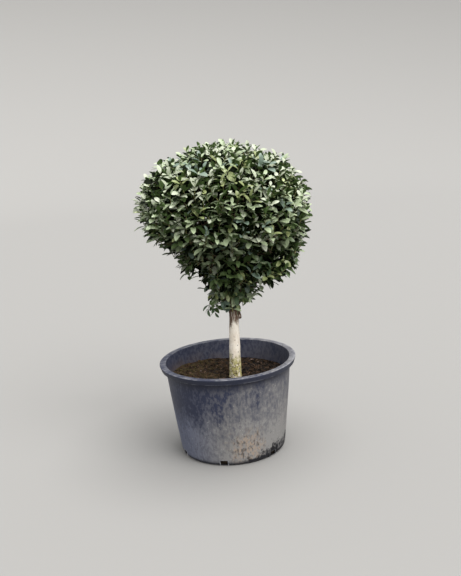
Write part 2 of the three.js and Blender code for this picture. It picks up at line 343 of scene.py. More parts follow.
def relief_group():
    """Fine relief: a bump normal from two sizes of noise."""
    tree, given, result = new_group(
        "Fine relief",
        [
            ("Vector", "NodeSocketVector", None),
            ("Scale", "NodeSocketFloat", 300.0),
            ("Depth", "NodeSocketFloat", 0.0004),
            ("Strength", "NodeSocketFloat", 0.5),
        ],
        "Normal",
        "NodeSocketVector",
    )
    coarse = node(
        tree, "ShaderNodeTexNoise",
        {"Vector": given["Vector"], "Scale": given["Scale"], "Detail": 6.0, "Roughness": 0.62},
    )
    bump = node(
        tree, "ShaderNodeBump",
        {"Strength": given["Strength"], "Distance": given["Depth"], "Height": coarse.outputs[0]},
    )
    tree.links.new(bump.outputs[0], result["Normal"])
    return tree


def shared(tree, name, maker, inputs):
    """Places a shared node group in a material, building the group the first time."""
    group = bpy.data.node_groups.get(name) or maker()
    return node(tree, "ShaderNodeGroup", inputs, node_tree=group).outputs[0]


def patches(tree, where, scale, low, high, stretch=(1.0, 1.0, 1.0)):
    """Mask of cloudy patches; a higher scale gives smaller ones."""
    values = {"Vector": where, "Scale": scale, "Low": low, "High": high, "Stretch": stretch}
    return shared(tree, "Cloudy patches", patches_group, values)


def specks(tree, where, scale, dot, share):
    """Mask of scattered specks."""
    values = {"Vector": where, "Scale": scale, "Size": dot, "Share": share}
    return shared(tree, "Scattered specks", specks_group, values)


def relief(tree, where, scale, depth, force):
    """Normal of a finely uneven surface."""
    values = {"Vector": where, "Scale": scale, "Depth": depth, "Strength": force}
    return shared(tree, "Fine relief", relief_group, values)


def new_material(name, roughness=0.6, specular=0.5):
    """A material, its tree, its Principled node and a socket with object coordinates."""
    material = bpy.data.materials.new(name)
    material.use_nodes = True
    tree = material.node_tree
    shader = tree.nodes["Principled BSDF"]
    shader.inputs["Roughness"].default_value = roughness
    shader.inputs["Specular IOR Level"].default_value = specular
    where = tree.nodes.new("ShaderNodeTexCoord").outputs["Object"]
    return material, tree, shader, where


# ---- materials --------------------------------------------------------------------------------
def pot_bloom_and_bounce(tree, place, blotches, streaks, fine):
    """How chalky the wall is: most on the right and low down, in blotches, streaks and spots; the
    lightening low down is partly painted light bounced up from the floor.
    """
    # Lighter low down: partly chalky fading, partly painted light bounced up from the floor.
    low = ramp(tree, place[2], 30 * MM, 165 * MM, 1.0, 0.0)
    low = product(tree, low, ramp(tree, place[0], -120 * MM, 60 * MM, 0.92, 0.72))
    far_left = ramp(tree, place[0], -120 * MM, -60 * MM, 0.34, 0.0)
    far_left = product(tree, far_left, ramp(tree, place[2], 50 * MM, 140 * MM, 1.0, 0.0))
    bloom_and_bounce = ramp(tree, place[0], -90 * MM, 110 * MM, 0.0, 0.50)
    parts = ((low, 1.0), (far_left, 1.0), (blotches, 0.38), (streaks, 0.13), (fine, 0.40))
    for mask, share in parts:
        bloom_and_bounce = maths(tree, "ADD", bloom_and_bounce, product(tree, mask, share))
    return maths(tree, "SUBTRACT", bloom_and_bounce, 0.47, clamp=True)


def lip_shadow_mask(tree, place, sheltered, pot):
    """Mask of the band of open wall close under the lip, where the lip's shadow is painted."""
    lip_foot = pot.height - pot.lip_drop
    below = maths(tree, "LESS_THAN", place[2], lip_foot)
    outside = maths(tree, "LESS_THAN", sheltered, RIM_TOP - 0.1)
    band = ramp(tree, place[2], pot.height - 42 * MM, lip_foot, 0.0, 0.6)
    return product(tree, band, below, outside)


def faded_plastic(tree, where, place, sheltered, bloom_and_bounce, lip_shadow_band, pot):
    """The plastic's colour: bleached by the bloom, specked, fresher on the lip's face, and with a
    painted shadow of the lip on the wall under it.
    """
    bleached = mixed(tree, ramp(tree, place[0], -110 * MM, -10 * MM), pot.hazy, pot.faded)
    base = mixed(tree, bloom_and_bounce, pot.plastic, bleached)
    dots = product(tree, specks(tree, where, 210.0, 0.22, 0.4), bloom_and_bounce)
    base = tinted(tree, base, dots, 0.75, pot.chalk)
    # Painted shadow of the lip on the wall under it.
    base = mixed(tree, lip_shadow_band, base, pot.lip_shadow)
    base = tinted(tree, base, specks(tree, where, 150.0, 0.25, 0.3), 0.45, pot.pits)
    on_lip = ramp(tree, sheltered, LIP_SIDE - 0.25, LIP_SIDE - 0.05)
    on_lip = product(tree, on_lip, maths(tree, "LESS_THAN", sheltered, LIP_SIDE + 0.05))
    return tinted(tree, base, on_lip, 0.8, pot.lip)


def mud_splash(tree, where, base, pot):
    """Dried mud in a ragged splash low on the front of the wall."""
    away = distance(tree, where, (30 * MM, -118 * MM, 40 * MM))
    ragged = product(tree, patches(tree, where, 75.0, 0.3, 0.7), 30 * MM)
    mud = ramp(tree, maths(tree, "ADD", ragged, away), 30 * MM, 66 * MM, 1.0, 0.0)
    crust = product(tree, mud, patches(tree, where, 230.0, 0.40, 0.62, (1.0, 1.0, 0.5)))
    base = tinted(tree, base, crust, 0.95, pot.dirt)
    strokes = product(tree, mud, patches(tree, where, 190.0, 0.50, 0.60, (1.0, 1.0, 0.45)))
    return tinted(tree, base, strokes, 0.75, pot.strokes)


def foot_grime_and_shade(tree, where, place, base, pot):
    """Earth caught round the foot, higher and higher towards the right, and wet at a drain, over
    painted shade on the down-turned foot roll.
    """
    round_foot = maths(tree, "ARCTAN2", place[1], place[0])
    climb = ramp(tree, round_foot, math.radians(-104), math.radians(-38), 6 * MM, 38 * MM)
    off_back = ramp(tree, round_foot, math.radians(8), math.radians(-8), 0.2, 1.0)
    climb = product(tree, climb, off_back)
    torn = product(tree, patches(tree, where, 90.0, 0.3, 0.7), 22 * MM)
    above = maths(tree, "SUBTRACT", maths(tree, "ADD", place[2], torn), climb)
    grime_and_shade = ramp(tree, above, -4 * MM, 8 * MM, 1.0, 0.0)
    flaked = patches(tree, where, 120.0, 0.40, 0.56, (1.0, 1.0, 0.7))
    grime_and_shade = product(tree, grime_and_shade, ramp(tree, flaked, 0.0, 1.0, 0.55, 1.0))
    # Painted shade on the down-turned foot roll, all round the foot.
    foot_roll_shade = ramp(tree, place[2], 3 * MM, 14 * MM, 0.55, 0.0)
    base = mixed(tree, maths(tree, "ADD", grime_and_shade, foot_roll_shade, clamp=True), base, pot.grime_and_shade)
    drain = maths(tree, "ADD", distance(tree, where, (84 * MM, -83 * MM, 11 * MM)), torn)
    return mixed(tree, ramp(tree, drain, 19 * MM, 27 * MM, 0.9, 0.0), base, pot.wet)


def inner_wall(tree, place, within, blotches, fine, base, pot):
    """Haze on the inside of the wall, under a brownish film high up on the left."""
    base = tinted(tree, base, product(tree, within, fine), 0.5, pot.inner_haze)
    film = ramp(tree, place[2], 160 * MM, 196 * MM, 0.6, 0.0)
    left_side = ramp(tree, place[0], -120 * MM, 30 * MM, 1.0, 0.25)
    return mixed(tree, product(tree, film, left_side, blotches, within), base, pot.film)


def pot_material(pot):
    """Dark blue plastic: hazy and chalky, partly lightened low down by painted bounce light, muddy
    near the foot with painted shade on the foot roll, lightly scuffed at the lip, with a painted
    shadow under the lip.
    """
    material, tree, shader, where = new_material("weathered pot plastic", specular=0.35)
    place = coordinates(tree, where)
    sheltered = attribute(tree, "sheltered")
    fine = patches(tree, where, 170.0, 0.36, 0.64, (1.0, 1.0, 0.6))
    blotches = patches(tree, where, 24.0, 0.36, 0.64, (1.0, 1.0, 0.8))
    streaks = patches(tree, where, 150.0, 0.36, 0.64, (1.0, 1.0, 0.10))
    # The band under the lip gets a painted shadow and no bloom.
    lip_shadow_band = lip_shadow_mask(tree, place, sheltered, pot)
    open_air = maths(tree, "SUBTRACT", 1.0, product(tree, sheltered, 0.8))
    open_air = maths(tree, "SUBTRACT", open_air, lip_shadow_band, clamp=True)
    bloom_and_bounce = product(tree, pot_bloom_and_bounce(tree, place, blotches, streaks, fine), open_air)
    base = faded_plastic(tree, where, place, sheltered, bloom_and_bounce, lip_shadow_band, pot)
    base = mud_splash(tree, where, base, pot)
    # Grime round the foot, with painted shade on the foot roll.
    base = foot_grime_and_shade(tree, where, place, base, pot)
    within = maths(tree, "GREATER_THAN", sheltered, INSIDE - 0.1)
    base = inner_wall(tree, place, within, blotches, fine, base, pot)
    scuffs = patches(tree, where, 60.0, 0.42, 0.66, (1.0, 1.0, 2.0))
    scuffs = product(tree, attribute(tree, "wear"), scuffs)
    base = tinted(tree, base, scuffs, 0.55, pot.worn)
    tree.links.new(base, shader.inputs["Base Color"])
    tree.links.new(ramp(tree, bloom_and_bounce, 0.0, 1.0, 0.5, 0.85), shader.inputs["Roughness"])
    tree.links.new(relief(tree, where, 220.0, 0.6 * MM, 0.6), shader.inputs["Normal"])
    return material


def worn_material(pot):
    """Frayed pale plastic round the drains, dirtier on the right."""
    material, tree, shader, where = new_material("frayed drain edge", roughness=0.7)
    pale = mixed(tree, patches(tree, where, 180.0, 0.35, 0.65), pot.frayed, pot.worn)
    dirty = ramp(tree, coordinates(tree, where)[0], 20 * MM, 70 * MM, 0.0, 0.85)
    tree.links.new(mixed(tree, dirty, pale, pot.smeared), shader.inputs["Base Color"])
    tree.links.new(relief(tree, where, 500.0, 0.3 * MM, 0.6), shader.inputs["Normal"])
    return material


def soil_material(soil):
    """Moist compost: drier in patches, thinly mossy on the left, lighter on the left and darker on
    the right as painted light and shade.
    """
    material, tree, shader, where = new_material("compost", roughness=0.95, specular=0.2)
    place = coordinates(tree, where)
    base = mixed(tree, patches(tree, where, 105.0, 0.43, 0.60), soil.dark, soil.brown)
    base = tinted(tree, base, specks(tree, where, 320.0, 0.3, 0.35), 0.7, soil.fibre)
    left = ramp(tree, place[0], -100 * MM, 10 * MM, 1.0, 0.0)
    moss = product(tree, left, patches(tree, where, 90.0, 0.44, 0.60))
    base = tinted(tree, base, moss, 0.5, soil.moss)
    # Painted shade: darker towards the right.
    base = mixed(tree, ramp(tree, place[0], 0.0, 110 * MM, 0.0, 0.45), base, soil.dark)
    # Painted light: a little lighter towards the left.
    base = tinted(tree, base, left, 0.10, soil.fibre)
    tree.links.new(base, shader.inputs["Base Color"])
    tree.links.new(relief(tree, where, 420.0, 1.6 * MM, 1.0), shader.inputs["Normal"])
    return material


def plain_earth_material(name, first, second, scale=140.0, roughness=0.9):
    """A mottled earthy finish between two colours."""
    material, tree, shader, where = new_material(name, roughness=roughness, specular=0.25)
    mottled = mixed(tree, patches(tree, where, scale, 0.35, 0.65), first, second)
    tree.links.new(mottled, shader.inputs["Base Color"])
    tree.links.new(relief(tree, where, 600.0, 0.4 * MM, 0.7), shader.inputs["Normal"])
    return material


def bark_material(wood):
    """Cream bark on the stem: lichen and dark specks at the foot, tan at the top and above."""
    material, tree, shader, where = new_material("smooth stem bark", roughness=0.8, specular=0.3)
    height = coordinates(tree, where)[2]
    cloud = patches(tree, where, 90.0, 0.38, 0.66, (1.0, 1.0, 0.5))
    base = tinted(tree, wood.pale, cloud, 0.4, wood.clouded)
    flecks = patches(tree, where, 150.0, 0.60, 0.68, (0.7, 0.7, 2.2))
    base = tinted(tree, base, flecks, 0.7, wood.flecks)
    uneven = maths(tree, "ADD", height, product(tree, cloud, 16 * MM))
    top = ramp(tree, uneven, 281 * MM, 301 * MM)
    streaked = patches(tree, where, 170.0, 0.36, 0.60, (1.0, 1.0, 0.25))
    streaked = maths(tree, "ADD", streaked, 0.35)
    base = mixed(tree, maths(tree, "MULTIPLY", top, streaked, clamp=True), base, wood.tan)
    foot = ramp(tree, uneven, 198 * MM, 232 * MM, 1.0, 0.0)
    foot_marks = (
        (patches(tree, where, 120.0, 0.34, 0.56), 0.9, wood.lichen),
        (patches(tree, where, 170.0, 0.50, 0.62), 0.8, wood.stain),
        (specks(tree, where, 210.0, 0.40, 0.55), 0.9, wood.speck),
    )
    for marks, share, tint in foot_marks:
        base = tinted(tree, base, product(tree, foot, marks), share, tint)
    base = tinted(tree, base, specks(tree, where, 170.0, 0.28, 0.42), 0.75, wood.speck)
    base = mixed(tree, ramp(tree, height, 308 * MM, 325 * MM), base, wood.twig)
    tree.links.new(base, shader.inputs["Base Color"])
    tree.links.new(relief(tree, where, 380.0, 0.7 * MM, 0.8), shader.inputs["Normal"])
    return material


def leaf_material(name, tint, roughness, coat, specular=0.5):
    """One plain leaf colour with a waxy gloss."""
    material, tree, shader, where = new_material(name, roughness, specular)
    shader.inputs["Base Color"].default_value = (*tint, 1.0)
    shader.inputs["Coat Weight"].default_value = coat
    shader.inputs["Coat Roughness"].default_value = 0.36
    tree.links.new(relief(tree, where, 700.0, 0.2 * MM, 0.35), shader.inputs["Normal"])
    return material


# ---- meshes -----------------------------------------------------------------------------------
def add_piece(name, mesh, materials, replaced=()):
    """Puts a finished mesh into the scene, riding on the plant's one body."""
    piece = bpy.data.objects.new(name, mesh)
    bpy.context.scene.collection.objects.link(piece)
    for material in materials:
        mesh.materials.append(material)
    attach(piece, "root")
    if replaced:
        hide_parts(*replaced)
    return piece


def mesh_from(bm, name, smooth=True):
    """The mesh of a finished bmesh, which goes."""
    mesh = bpy.data.meshes.new(name)
    bm.to_mesh(mesh)
    bm.free()
    mesh.polygons.foreach_set("use_smooth", [smooth] * len(mesh.polygons))
    return mesh


def applied(thing):
    """The mesh of an object with its modifiers or its curve worked out; the object itself goes."""
    bpy.context.view_layer.update()
    graph = bpy.context.evaluated_depsgraph_get()
    mesh = bpy.data.meshes.new_from_object(thing.evaluated_get(graph))
    data = thing.data
    bpy.data.objects.remove(thing)
    if isinstance(data, bpy.types.Mesh):
        bpy.data.meshes.remove(data)
    else:
        bpy.data.curves.remove(data)
    return mesh


def loose_object(data):
    """An object that takes its name from its data, in the scene."""
    thing = bpy.data.objects.new(data.name, data)
    bpy.context.scene.collection.objects.link(thing)
    return thing


def turned(outline, steps):
    """Spins a half section of (radius, height) points once round the upright axis."""
    bm = bmesh.new()
    section = [bm.verts.new((radius, 0.0, height)) for radius, height in outline]
    edges = [bm.edges.new(pair) for pair in zip(section, section[1:])]
    bmesh.ops.spin(
        bm, geom=section + edges, cent=(0, 0, 0), axis=(0, 0, 1), angle=2 * math.pi,
        steps=steps, use_merge=True,
    )
    bmesh.ops.remove_doubles(bm, verts=bm.verts, dist=1e-6)
    bmesh.ops.recalc_face_normals(bm, faces=bm.faces)
    return bm


def arc(centre_r, centre_z, radius, start, end, steps):
    """Points of an arc in a half section, from one angle in degrees to another."""
    angles = np.radians(np.linspace(start, end, steps + 1))
    return [(centre_r + radius * math.cos(a), centre_z + radius * math.sin(a)) for a in angles]


def line(start, end, steps):
    """Points along a line in a half section, without its last one."""
    return [tuple(np.array(start) + (np.array(end) - start) * k / steps) for k in range(steps)]


def wobble(place, scale, seed=0.0):
    """Smooth noise from about -1 to 1; a higher scale makes it finer."""
    return noise.noise(Vector(place) * scale + Vector((seed, seed * 0.7, seed * 1.3)))


def shape_arrays(shape):
    """A mesh as arrays: points, the corners' points, and the faces' first corners and materials."""
    co = np.empty(len(shape.vertices) * 3)
    shape.vertices.foreach_get("co", co)
    loops = np.empty(len(shape.loops), int)
    shape.loops.foreach_get("vertex_index", loops)
    begin = np.empty(len(shape.polygons), int)
    shape.polygons.foreach_get("loop_start", begin)
    number = np.empty(len(shape.polygons), int)
    shape.polygons.foreach_get("material_index", number)
    return co.reshape(-1, 3), loops, begin, number


def joined_copies(name, shapes, which, turns, places, paint=None):
    """One mesh of many copies: copy i is shape which[i], turned by turns[i], at places[i].

    A turn may also scale. Faces of a shape's first material take the number paint[i], and its
    other faces keep theirs.
    """
    points, corners, starts, numbers = [], [], [], []
    point_count = corner_count = 0
    for k, shape in enumerate(shapes):
        mine = np.flatnonzero(which == k)
        if not len(mine):
            continue
        co, loops, begin, number = shape_arrays(shape)
        moved = np.einsum("nij,mj->nmi", turns[mine], co) + places[mine][:, None]
        points.append(moved.reshape(-1, 3))
        step = np.arange(len(mine))[:, None]
        corners.append((loops + step * len(co) + point_count).ravel())
        starts.append((begin + step * len(loops) + corner_count).ravel())
        own = np.zeros(len(mine), int) if paint is None else paint[mine]
        numbers.append(np.where(number == 0, own[:, None], number).ravel())
        point_count += moved.shape[0] * moved.shape[1]
        corner_count += len(mine) * len(loops)
    points, corners = np.concatenate(points), np.concatenate(corners)
    starts, numbers = np.concatenate(starts), np.concatenate(numbers)
    mesh = bpy.data.meshes.new(name)
    mesh.vertices.add(len(points))
    mesh.vertices.foreach_set("co", points.ravel())
    mesh.loops.add(len(corners))
    mesh.loops.foreach_set("vertex_index", corners)
    mesh.polygons.add(len(starts))
    mesh.polygons.foreach_set("loop_start", starts)
    mesh.polygons.foreach_set("material_index", numbers)
    mesh.polygons.foreach_set("use_smooth", np.ones(len(starts), bool))
    mesh.update(calc_edges=True)
    return mesh


def tubes(name, paths, sides=4):
    """One mesh of tapering twigs; a path is a list of (place, radius)."""
    curve = bpy.data.curves.new(name, "CURVE")
    curve.dimensions = "3D"
    curve.bevel_depth = 1.0
    curve.bevel_resolution = (sides - 4) // 2
    curve.use_fill_caps = True
    for path in paths:
        spline = curve.splines.new("POLY")
        spline.points.add(len(path) - 1)
        spline.points.foreach_set("co", [v for place, _ in path for v in (*place, 1.0)])
        spline.points.foreach_set("radius", [radius for _, radius in path])
    return applied(loose_object(curve))


# ---- pot --------------------------------------------------------------------------------------
# The drains' turns about the axis in degrees, the first a little left of the front.
DRAIN_ANGLES = (-102, -45, 18, 78, 138, 202)
# The pot's materials by number; the last, for the drains' cut faces, is dirt and painted shade.
PLAIN, FRAYED, DIRTY_AND_SHADED = range(3)
# How sheltered the parts of the pot are; its open wall has 0.
RIM_TOP, LIP_SIDE, INSIDE = 0.3, 0.85, 1.0


def wall_radius(pot, height):
    """Outside radius of the plain wall, which swells a little at half height."""
    share = (height - pot.heel_height) / (pot.height - pot.heel_height)
    belly = 0.8 * MM * math.sin(math.pi * min(max(share, 0), 1))
    return pot.heel_radius + (pot.neck_radius - pot.heel_radius) * share + belly


def pot_outline(pot):
    """Half section of the pot: underside, foot roll, outside and lip, and then inside and floor."""
    flange, edge = 2.4 * MM, 1.3 * MM
    lip_foot = pot.height - pot.lip_drop
    foot_rim = pot.rim_radius - pot.lip_taper
    under = pot.height - flange
    outside = line((0, 0), (pot.foot_radius, 0), 6) + [(pot.foot_radius, 0.0)]
    foot_roll = ((5.6, 0.9), (2.2, 4.0), (0.7, 8.0))
    outside += [(pot.heel_radius - inset * MM, height * MM) for inset, height in foot_roll]
    heights = np.linspace(pot.heel_height, under - 0.8 * MM, 26)
    outside += [(wall_radius(pot, height), height) for height in heights]
    outside += [(wall_radius(pot, under) + 0.8 * MM, under)]
    outside += line((wall_radius(pot, under) + 2 * MM, under), (pot.rim_radius - flange, under), 3)
    outside += [(pot.rim_radius - flange - 0.6 * MM, under - 0.8 * MM)]
    outside += [(foot_rim - flange, lip_foot + 0.6 * MM)]
    outside += arc(foot_rim - flange / 2, lip_foot + 0.6 * MM, flange / 2, 180, 360, 4)[1:]
    lip_bottom = (foot_rim + 0.1 * MM, lip_foot + 2 * MM)
    outside += line(lip_bottom, (pot.rim_radius, pot.height - 2 * edge), 3)
    outside += arc(pot.rim_radius - edge, pot.height - edge, edge, 0, 90, 4)
    mouth = wall_radius(pot, pot.height) - pot.wall
    outside += line((pot.rim_radius - 3 * MM, pot.height), (mouth + 2 * MM, pot.height), 4)[1:]
    inside = arc(mouth + edge, pot.height - edge, edge, 90, 180, 4)
    heights = np.linspace(pot.height - 3 * MM, pot.heel_height, 24)
    inside += [(wall_radius(pot, height) - pot.wall, height) for height in heights]
    inside += [(pot.heel_radius - 4.6 * MM, 5 * MM), (pot.foot_radius, 2.6 * MM)]
    inside += line((pot.foot_radius - 3 * MM, 2.5 * MM), (0, 2.5 * MM), 4) + [(0, 2.5 * MM)]
    return outside + inside


def drain_turns():
    """The drains' turns as matrices."""
    return [Matrix.Rotation(math.radians(degrees), 3, "Z") for degrees in DRAIN_ANGLES]


def drain_cutters(pot):
    """Boxes that cut the drains."""
    bm = bmesh.new()
    tall = pot.drain_high - pot.drain_low
    for turn in drain_turns():
        made = bmesh.ops.create_cube(bm, size=1.0)["verts"]
        bmesh.ops.scale(bm, verts=made, vec=(22 * MM, pot.drain_width, tall))
        middle = (pot.heel_radius, 0, pot.drain_low + tall / 2)
        bmesh.ops.translate(bm, verts=made, vec=middle)
        bmesh.ops.rotate(bm, verts=made, cent=(0, 0, 0), matrix=turn)
    return loose_object(mesh_from(bm, "drain cutters", smooth=False))


def is_drain_rim(edge, pot):
    """Whether an edge is a sharp one at the height of the drains."""
    height = (edge.verts[0].co.z + edge.verts[1].co.z) / 2
    if height > pot.drain_high + MM or height < pot.drain_low - MM:
        return False
    return edge.is_manifold and edge.calc_face_angle(0) > math.radians(55)


def is_drain_cut(face, pot):
    """Whether a face is a drain's cut side, top or sill rather than part of the wall."""
    middle = face.calc_center_median()
    radial = Vector((middle.x, middle.y, 0)).normalized()
    in_wall = pot.heel_radius - 8 * MM < math.hypot(middle.x, middle.y) < pot.heel_radius
    at_height = pot.drain_low - 0.2 * MM < middle.z < pot.drain_high + 0.2 * MM
    return in_wall and at_height and abs(face.normal.dot(radial)) < 0.35


def finish_drains(bm, pot):
    """Bevels the drains' edges, as frayed plastic, and darkens their cut faces with dirt and
    painted shade.
    """
    rims = [edge for edge in bm.edges if is_drain_rim(edge, pot)]
    made = bmesh.ops.bevel(
        bm, geom=rims, offset=0.9 * MM, affect="EDGES", segments=1, profile=0.5, material=-1,
        offset_type="OFFSET", clamp_overlap=True,
    )
    for face in made["faces"]:
        face.material_index = FRAYED
    for face in bm.faces:
        if face.material_index == PLAIN and is_drain_cut(face, pot):
            # Dirt and painted shade on the cut faces.
            face.material_index = DIRTY_AND_SHADED


def weather_pot(bm, pot):
    """Marks the worn and the sheltered places of the pot, and makes its wall slightly uneven."""
    wear = bm.verts.layers.float.new("wear")
    sheltered = bm.verts.layers.float.new("sheltered")
    lip_foot = pot.height - pot.lip_drop
    mouth = wall_radius(pot, pot.height) - pot.wall
    for vert in bm.verts:
        radius = math.hypot(vert.co.x, vert.co.y)
        at_lip = radius > pot.rim_radius - 4 * MM and vert.co.z > lip_foot - MM
        inner_skin = wall_radius(pot, vert.co.z) - pot.wall / 2
        if vert.co.z > pot.height - 0.5 * MM:
            near_edge = radius > pot.rim_radius - 1.8 * MM or radius < mouth + 1.2 * MM
            vert[wear] = 1.0 if near_edge else 0.55
            vert[sheltered] = RIM_TOP
        elif radius < inner_skin and vert.co.z > 2 * MM:
            vert[sheltered] = INSIDE
        elif at_lip:
            vert[wear] = 0.4 if vert.co.z < lip_foot + 1.4 * MM else 0.0
            vert[sheltered] = LIP_SIDE
        if vert.co.z > 0.5 * MM:
            push = 0.5 * wobble(vert.co, 9.0) + 0.18 * wobble(vert.co, 38.0, 5.0)
            if at_lip:
                push += 0.35 * min(0.0, wobble(vert.co, 60.0, 9.0))
            vert.co.x += vert.co.x / max(radius, MM) * push * MM
            vert.co.y += vert.co.y / max(radius, MM) * push * MM


def pot_mesh(pot):
    """The pot as one turned shell with its drains cut through."""
    blank = loose_object(mesh_from(turned(pot_outline(pot), 144), "pot blank"))
    cutters = drain_cutters(pot)
    cut = blank.modifiers.new("drains", "BOOLEAN")
    cut.operation, cut.object, cut.solver = "DIFFERENCE", cutters, "EXACT"
    mesh = applied(blank)
    bpy.data.objects.remove(cutters)
    bm = bmesh.new()
    bm.from_mesh(mesh)
    bpy.data.meshes.remove(mesh)
    finish_drains(bm, pot)
    weather_pot(bm, pot)
    mesh = mesh_from(bm, "pot")
    mesh.set_sharp_from_angle(angle=math.radians(38))
    return mesh


def drain_burrs(pot):
    """Thin frayed flash left standing round each drain."""
    bm = bmesh.new()
    half, tall = pot.drain_width / 2, pot.drain_high - pot.drain_low
    middle = (pot.drain_low + pot.drain_high) / 2
    strips = [(side * half, middle, 1.3 * MM, tall + 2 * MM) for side in (-1, 1)]
    strips.append((0.0, pot.drain_high, pot.drain_width, 1.4 * MM))
    for i, turn in enumerate(drain_turns()):
        for across, height, wide, high in strips:
            done = len(bm.verts)
            made = bmesh.ops.create_cube(bm, size=1.0)["verts"]
            axis = 1 if wide > high else 2
            edges = dict.fromkeys(edge for vert in made for edge in vert.link_edges)
            along = [e for e in edges if abs(e.verts[0].co[axis] - e.verts[1].co[axis]) > 0.5]
            bmesh.ops.subdivide_edges(bm, edges=along, cuts=5)
            for vert in list(bm.verts)[done:]:
                depth = vert.co.x * 2.0 * MM
                spot = Vector((depth, vert.co.y * wide + across, vert.co.z * high + height))
                skin = pot.heel_radius - (0.4 if spot.z > 8 * MM else 1.5) * MM
                fray = 1 + 0.8 * noise.noise(spot * 420 + Vector((i * 3.1, 0, 0)))
                outer = 0.4 * MM * fray if spot.x > 0 else -1.2 * MM
                vert.co = turn @ Vector((math.sqrt(skin**2 - spot.y**2) + outer, spot.y, spot.z))
                vert.co += turn @ Vector((0, 0, 0.5 * MM * (fray - 1)))
    return mesh_from(bm, "drain burrs", smooth=False)


class TOPIARY_OT_pot(Operator):
    """Moulds the pot: wall, lip, foot roll and drains"""

    bl_idname = "topiary.pot"
    bl_label = "Make pot"

    def execute(self, context):
        pot = context.scene.topiary_pot
        frayed = worn_material(pot)
        # The drains' cut faces: dirt and painted shade.
        dirty_and_shaded = plain_earth_material("dirty drain", pot.drain_dark, pot.drain_pale, 300.0)
        finishes = [pot_material(pot), frayed, dirty_and_shaded]
        add_piece("nursery_pot", pot_mesh(pot), finishes, ["pot"])
        add_piece("drain_burrs", drain_burrs(pot), [frayed])
        return {"FINISHED"}


# ---- soil -------------------------------------------------------------------------------------
# Pebbles: (place to the right, place to the back, size), in millimetres.
PEBBLES = [(56, 98, 8.5), (70, 84, 4.0), (-62, 35, 4.5), (74, 50, 3.5)]


def skin_of(names):
    """A search tree over the faces of some CAD nodes, and the arrays behind it."""
    points, faces, owner = [], [], []
    for index, name in enumerate(names):
        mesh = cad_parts[name].data
        offset = len(points)
        points += [vert.co.copy() for vert in mesh.vertices]
        faces += [[offset + i for i in face.vertices] for face in mesh.polygons]
        owner += [index] * len(mesh.polygons)
    return BVHTree.FromPolygons(points, faces), points, faces, owner


def soil_level(tree, x, y):
    """Height of the compost's surface at a place."""
    hit = tree.ray_cast(Vector((x, y, 0.3)), -UP)[0]
    return None if hit is None else hit.z


def soil_mesh(soil, tree):
    """The compost as one closed body whose top is lumpy."""
    low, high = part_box("soil")
    edge = high.x
    foot = edge * 0.84
    blank_top = 160 * MM
    rings = 46
    outline = [(0, low.z), (foot, low.z), (foot + 4 * MM, 12.5 * MM)]
    outline += [(edge + 0.2 * MM - edge * k / rings, blank_top) for k in range(rings)]
    outline += [(0, blank_top)]
    bm = turned(outline, 120)
    for vert in bm.verts:
        if vert.co.z < blank_top - 10 * MM:
            continue
        level = soil_level(tree, vert.co.x * 0.985, vert.co.y * 0.985) or blank_top
        lumps = wobble(vert.co, 60.0) + 0.7 * wobble(vert.co, 150.0, 3.0)
        lumps += 0.4 * wobble(vert.co, 380.0, 7.0)
        from_stem = math.hypot(vert.co.x - STEM_X, vert.co.y)
        calm = min(1.0, max(0.0, (from_stem - 13 * MM) / (10 * MM)))
        vert.co.z = level + calm * soil.lump * (0.15 + lumps * 0.75)
    mesh = mesh_from(bm, "soil")
    mesh.set_sharp_from_angle(angle=math.radians(60))
    return mesh


def crumb_shapes():
    """Two uneven lumps, about one unit across."""
    shapes = []
    for seed in (1.0, 4.0):
        bm = bmesh.new()
        bmesh.ops.create_icosphere(bm, subdivisions=1, radius=0.5)
        for vert in bm.verts:
            vert.co *= 1.0 + 0.5 * wobble(vert.co, 2.2, seed)
        shapes.append(mesh_from(bm, "crumb", smooth=False))
    return shapes


def fibre_shapes():
    """Two thin bent slivers, one unit long."""
    shapes = []
    for bend in (0.12, -0.2):
        bm = bmesh.new()
        bmesh.ops.create_cone(
            bm, cap_ends=True, segments=4, radius1=0.035, radius2=0.02, depth=1.0,
            matrix=Matrix.Rotation(math.pi / 2, 4, "Y"),
        )
        along = [edge for edge in bm.edges if abs(edge.verts[0].co.x - edge.verts[1].co.x) > 0.5]
        bmesh.ops.subdivide_edges(bm, edges=along, cuts=3)
        for vert in bm.verts:
            vert.co.z += bend * (0.25 - vert.co.x**2)
            vert.co.y += bend * math.sin(3 * vert.co.x)
        shapes.append(mesh_from(bm, "fibre"))
    return shapes


def scattered(rng, tree, count, low_size, high_size, flat, sink):
    """Turns, which also scale, and places of loose bits that lie on the soil."""
    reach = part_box("soil")[1].x - 5 * MM
    turns, places = [], []
    while len(places) < count:
        x, y = rng.uniform(-reach, reach, 2)
        if math.hypot(x, y) > reach or math.hypot(x - STEM_X, y) < 16 * MM:
            continue
        # The power makes most bits small.
        across = low_size * (high_size / low_size) ** (rng.random() ** 2.2)
        turn = Matrix.Rotation(rng.uniform(0, 2 * math.pi), 3, "Z")
        turn @= Matrix.Rotation(rng.normal(0, 0.3), 3, "Y")
        turns.append(np.array(turn) * across * np.array([1.0, 1.0, flat]))
        places.append((x, y, soil_level(tree, x, y) + across * sink))
    return np.array(turns), np.array(places)


